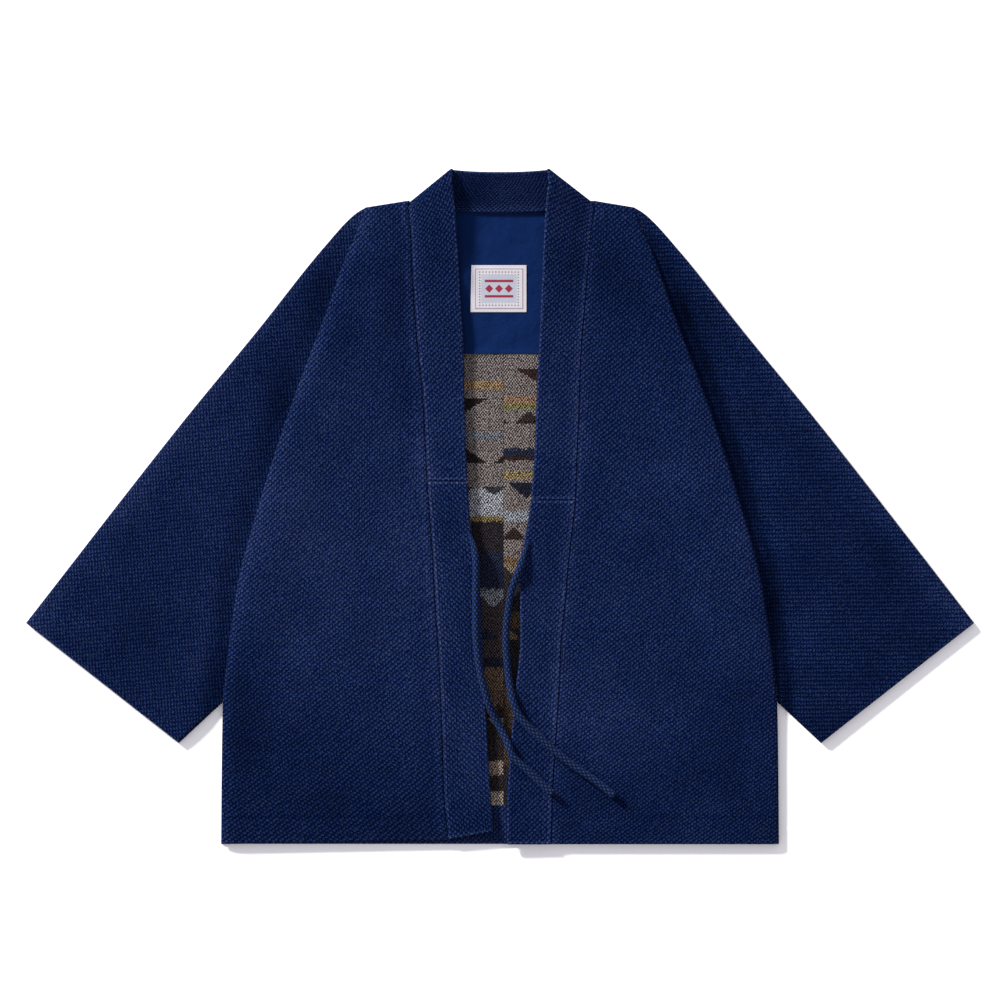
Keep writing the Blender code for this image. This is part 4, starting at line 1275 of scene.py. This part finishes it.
# ---- Collar band
# A strip of the cotton folded in half lengthwise and sewn to the fronts and the neck by its
# raw edges. It is made up of three lengths, spliced at the height of the breast.

BAND_HALF = 2.0
BAND_SEAM_Z = 7.8
SPLICE_RIGHT_Y = 28.6
SPLICE_LEFT_Y = 7.3
COLLAR_TOP_MID_Y = 373.7
COLLAR_SEAM_Z = 4.4
COLLAR_SEAM_INSET = 0.9
COLLAR_TOP_MID_Z = 16.5

# Where the collar turns over at the shoulder: its seam's end and its top, each round by a radius
# and drawn outward in plan by a share of it.
Crease = namedtuple("Crease", "x y z radius")
CREASE_SEAM = {RIGHT: Crease(99.6, 338.4, 6.2, 1.8), LEFT: Crease(101.6, 338.4, 6.2, 1.8)}
CREASE_TOP = Crease(52.6, 376.2, 18.6, 2.6)
CREASE_SEAM_REACH = 0.5
CREASE_TOP_REACH = 0.1
CREASE_OUTWARD = (0.606, 0.795)

# The right side's free edge lies lower at the breast.
BAND_DIP = Line(252, 38, 3.4)

# Relief and colour of the band along its seam, its free edge and its splices: wear beside the
# seam, a paler ridge and free edge partly from wear and partly as painted highlights, a painted
# highlight beside each splice and a painted shade line in it.
BAND_SEAM_EDGE = Lip(1.0, 0.7)
BAND_RIDGE = Line(2.6, 1.6, 0.45)
BAND_EDGE_DENT = Line(6.5, 1.4, 0.18)
BAND_RIDGE_WEAR_AND_HIGHLIGHT = Line(1.8, 1.2, 0.45)
BAND_SEAM_WEAR = Line(3.0, 6.5, 0.22)
BAND_EDGE_WEAR_AND_HIGHLIGHT = Line(0.0, 2.2, 0.5)
SPLICE_EDGE = Lip(1.6, 0.7)
SPLICE_RIDGE = Line(3.2, 1.2, 0.3)
SPLICE_PAINTED_HIGHLIGHT = Line(2.2, 1.2, 0.72)
SPLICE_SHADE = Line(0.0, 0.7, -0.5)

# Behind the neck the threads of the band lie closer, by this share and from this far in on.
NECK_CLOSER = 0.4
NECK_CLOSER_FROM = 14.0

# Steps of the mesh up to a splice.
SPLICE_STEPS = (0.0, 0.4, 0.9, 1.6, 2.4, 3.2, 4.0)


def band_ends(side, seam_y):
    """Seam point and free edge of the band's middle surface at one height."""
    at = {column: value(seam_y) for column, value in BAND_CURVES[side].items()}
    seam = Vector((side * at["seam_x"], seam_y, BAND_SEAM_Z))
    dip = line_at(BAND_DIP, at["edge_y"]) if side == RIGHT else 0.0
    return seam, Vector((side * at["edge_x"], at["edge_y"], at["edge_z"] - dip))


def crease_ends(side, turn):
    """Seam point and free edge where the collar turns over, turn going from +90 to -90."""
    ends = []
    for crease, reach in ((CREASE_SEAM[side], CREASE_SEAM_REACH), (CREASE_TOP, CREASE_TOP_REACH)):
        out = crease.radius * math.cos(math.radians(turn)) * reach
        ends.append(Vector((side * (crease.x + CREASE_OUTWARD[0] * out),
                            crease.y + CREASE_OUTWARD[1] * out,
                            crease.z + crease.radius * math.sin(math.radians(turn)))))
    return ends


def neck_ends(share):
    """Seam point and free edge behind the neck, share going from -1 at the right to 1."""
    seam_x = share * CREASE_SEAM[RIGHT if share < 0 else LEFT].x
    away = abs(share) ** 2.5
    seam = Vector((seam_x, neck_line(seam_x) - COLLAR_SEAM_INSET, COLLAR_SEAM_Z))
    return seam, Vector((share * CREASE_TOP.x, mix(COLLAR_TOP_MID_Y, CREASE_TOP.y, away),
                         mix(COLLAR_TOP_MID_Z, CREASE_TOP.z - CREASE_TOP.radius, away)))


def band_place(ends):
    """Place function of a folded band through pairs of seam point and free edge."""
    near_seam = (0.0, 0.4, 0.9, 1.6, 2.4, 3.1, 3.8, 4.5, 5.4, 6.6)
    near_edge = (6.0, 4.6, 3.4, 2.5, 2.0, 1.5, 1.0, 0.6, 0.3, 0.1, 0.0)
    middle_steps = 14
    middle = []
    for seam, edge in ends:
        length = (edge - seam).length
        places = list(near_seam)
        places += [mix(near_seam[-1], length - near_edge[0], k / middle_steps)
                   for k in range(1, middle_steps)]
        places += [length - d for d in near_edge]
        middle.append([(mix(seam, edge, p / length), p, length - p) for p in places])
    walked = [0.0]
    for before, after in zip(ends, ends[1:]):
        walked.append(walked[-1] + ((after[0] + after[1]) - (before[0] + before[1])).length / 2)
    last = len(middle[0]) - 1
    closer = [1 + NECK_CLOSER * soften((CREASE_SEAM[RIGHT].x - abs(seam.x)) / NECK_CLOSER_FROM)
              * (seam.y > NECK_SEAM_MID_Y - 1) for seam, _ in ends]
    walked_threads = [0.0]
    for j in range(1, len(ends)):
        walked_threads.append(walked_threads[-1] + (walked[j] - walked[j - 1]) * closer[j])

    def place(i, j):
        point, from_seam, from_edge = middle[j][i]
        along = middle[min(j + 1, len(middle) - 1)][i][0] - middle[max(j - 1, 0)][i][0]
        across = middle[j][min(i + 1, last)][0] - middle[j][max(i - 1, 0)][0]
        normal = along.cross(across).normalized()
        half = BAND_HALF * rounding(from_edge, BAND_HALF)
        waver = seam_waver(2, walked[j])
        end = min(walked[j], walked[-1] - walked[j])
        up = half + waver * line_at(BAND_RIDGE, from_seam) - line_at(BAND_EDGE_DENT, from_edge)
        up += line_at(SPLICE_RIDGE, end)
        up -= lip_at(BAND_SEAM_EDGE, from_seam) + lip_at(SPLICE_EDGE, end)
        # Wear and painted highlights along the seam, the edge and the splices, with painted shade
        # in each splice.
        wear_and_light = dye_and_painted_light(point.x, point.y) + waver * line_at(BAND_RIDGE_WEAR_AND_HIGHLIGHT, from_seam)
        wear_and_light += line_at(BAND_SEAM_WEAR, from_seam) + line_at(BAND_EDGE_WEAR_AND_HIGHLIGHT, from_edge)
        wear_and_light += line_at(SPLICE_PAINTED_HIGHLIGHT, end) + line_at(SPLICE_SHADE, end)
        threads = (from_seam * closer[j], walked_threads[j])
        return (point + normal * up, point - normal * half), threads, wear_and_light
    return place, last + 1


def add_band(name, node, ends):
    """One length of the band."""
    place, columns = band_place(ends)
    band = lay_cloth(name, columns, len(ends), place, [indigo_cotton])
    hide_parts(node)


neck_rows = {}
for side, splice in ((RIGHT, SPLICE_RIGHT_Y), (LEFT, SPLICE_LEFT_Y)):
    arm = [band_ends(side, y) for y in spread(334.5, splice + GAP * 0.5 + 5, 100)]
    arm += [band_ends(side, splice + GAP * 0.5 + step) for step in SPLICE_STEPS[::-1]]
    neck_rows[side] = [crease_ends(side, turn) for turn in range(-90, 91, 9)] + arm
behind = [neck_ends(share) for share in spread(-0.985, 0.985, 70)]
add_band("collar_cloth_neck", "collar_neck",
         neck_rows[RIGHT][::-1] + behind + neck_rows[LEFT])
for half, side, splice, hem in (("right", RIGHT, SPLICE_RIGHT_Y, HEM_CORNER_RIGHT_Y),
                                ("left", LEFT, SPLICE_LEFT_Y, HEM_Y)):
    start = splice - GAP * 0.5
    heights = [start - step for step in SPLICE_STEPS]
    heights += spread(start - 5.5, hem + 4.5, 128)
    heights += [hem + step for step in SPLICE_STEPS[-2::-1]]
    add_band("collar_cloth_" + half, "collar_lower_" + half,
             [band_ends(side, y) for y in heights])


# ---- Table and light
# A plain white table top, lit by one large lamp low at the upper left and by white walls.

TABLE_HALF = 6.0
TABLE_Z = -0.0003
LAMP_DROP = Vector((1.7, -1.7, -1.0))

table_mesh = bmesh.new()
bmesh.ops.create_grid(table_mesh, x_segments=1, y_segments=1, size=TABLE_HALF)
bmesh.ops.translate(table_mesh, verts=table_mesh.verts, vec=(0, 0, TABLE_Z))

# White laminate: matt and almost pure white.
white_table, tree, shader = new_material("white laminate table top", 0.9, 0.0)
set_inputs(tree, shader, {"Base Color": linear("#f9f9f8")})
table = finish_mesh("table_top", table_mesh, [white_table])

lamp_data = bpy.data.lights.new("large lamp", "SUN")
lamp_data.energy = 8.45
lamp_data.angle = math.radians(9)
lamp_data.color = linear("#fffdf9")[:3]
lamp = bpy.data.objects.new("large lamp", lamp_data)
lamp.rotation_mode = "QUATERNION"
lamp.rotation_quaternion = LAMP_DROP.to_track_quat("-Z", "Y")
bpy.context.scene.collection.objects.link(lamp)

walls = bpy.data.worlds.new("white walls")
walls.use_nodes = True
set_inputs(walls.node_tree, walls.node_tree.nodes["Background"],
           {"Color": linear("#f9f6ff"), "Strength": 0.74})
bpy.context.scene.world = walls
bpy.context.scene.view_settings.view_transform = "Standard"
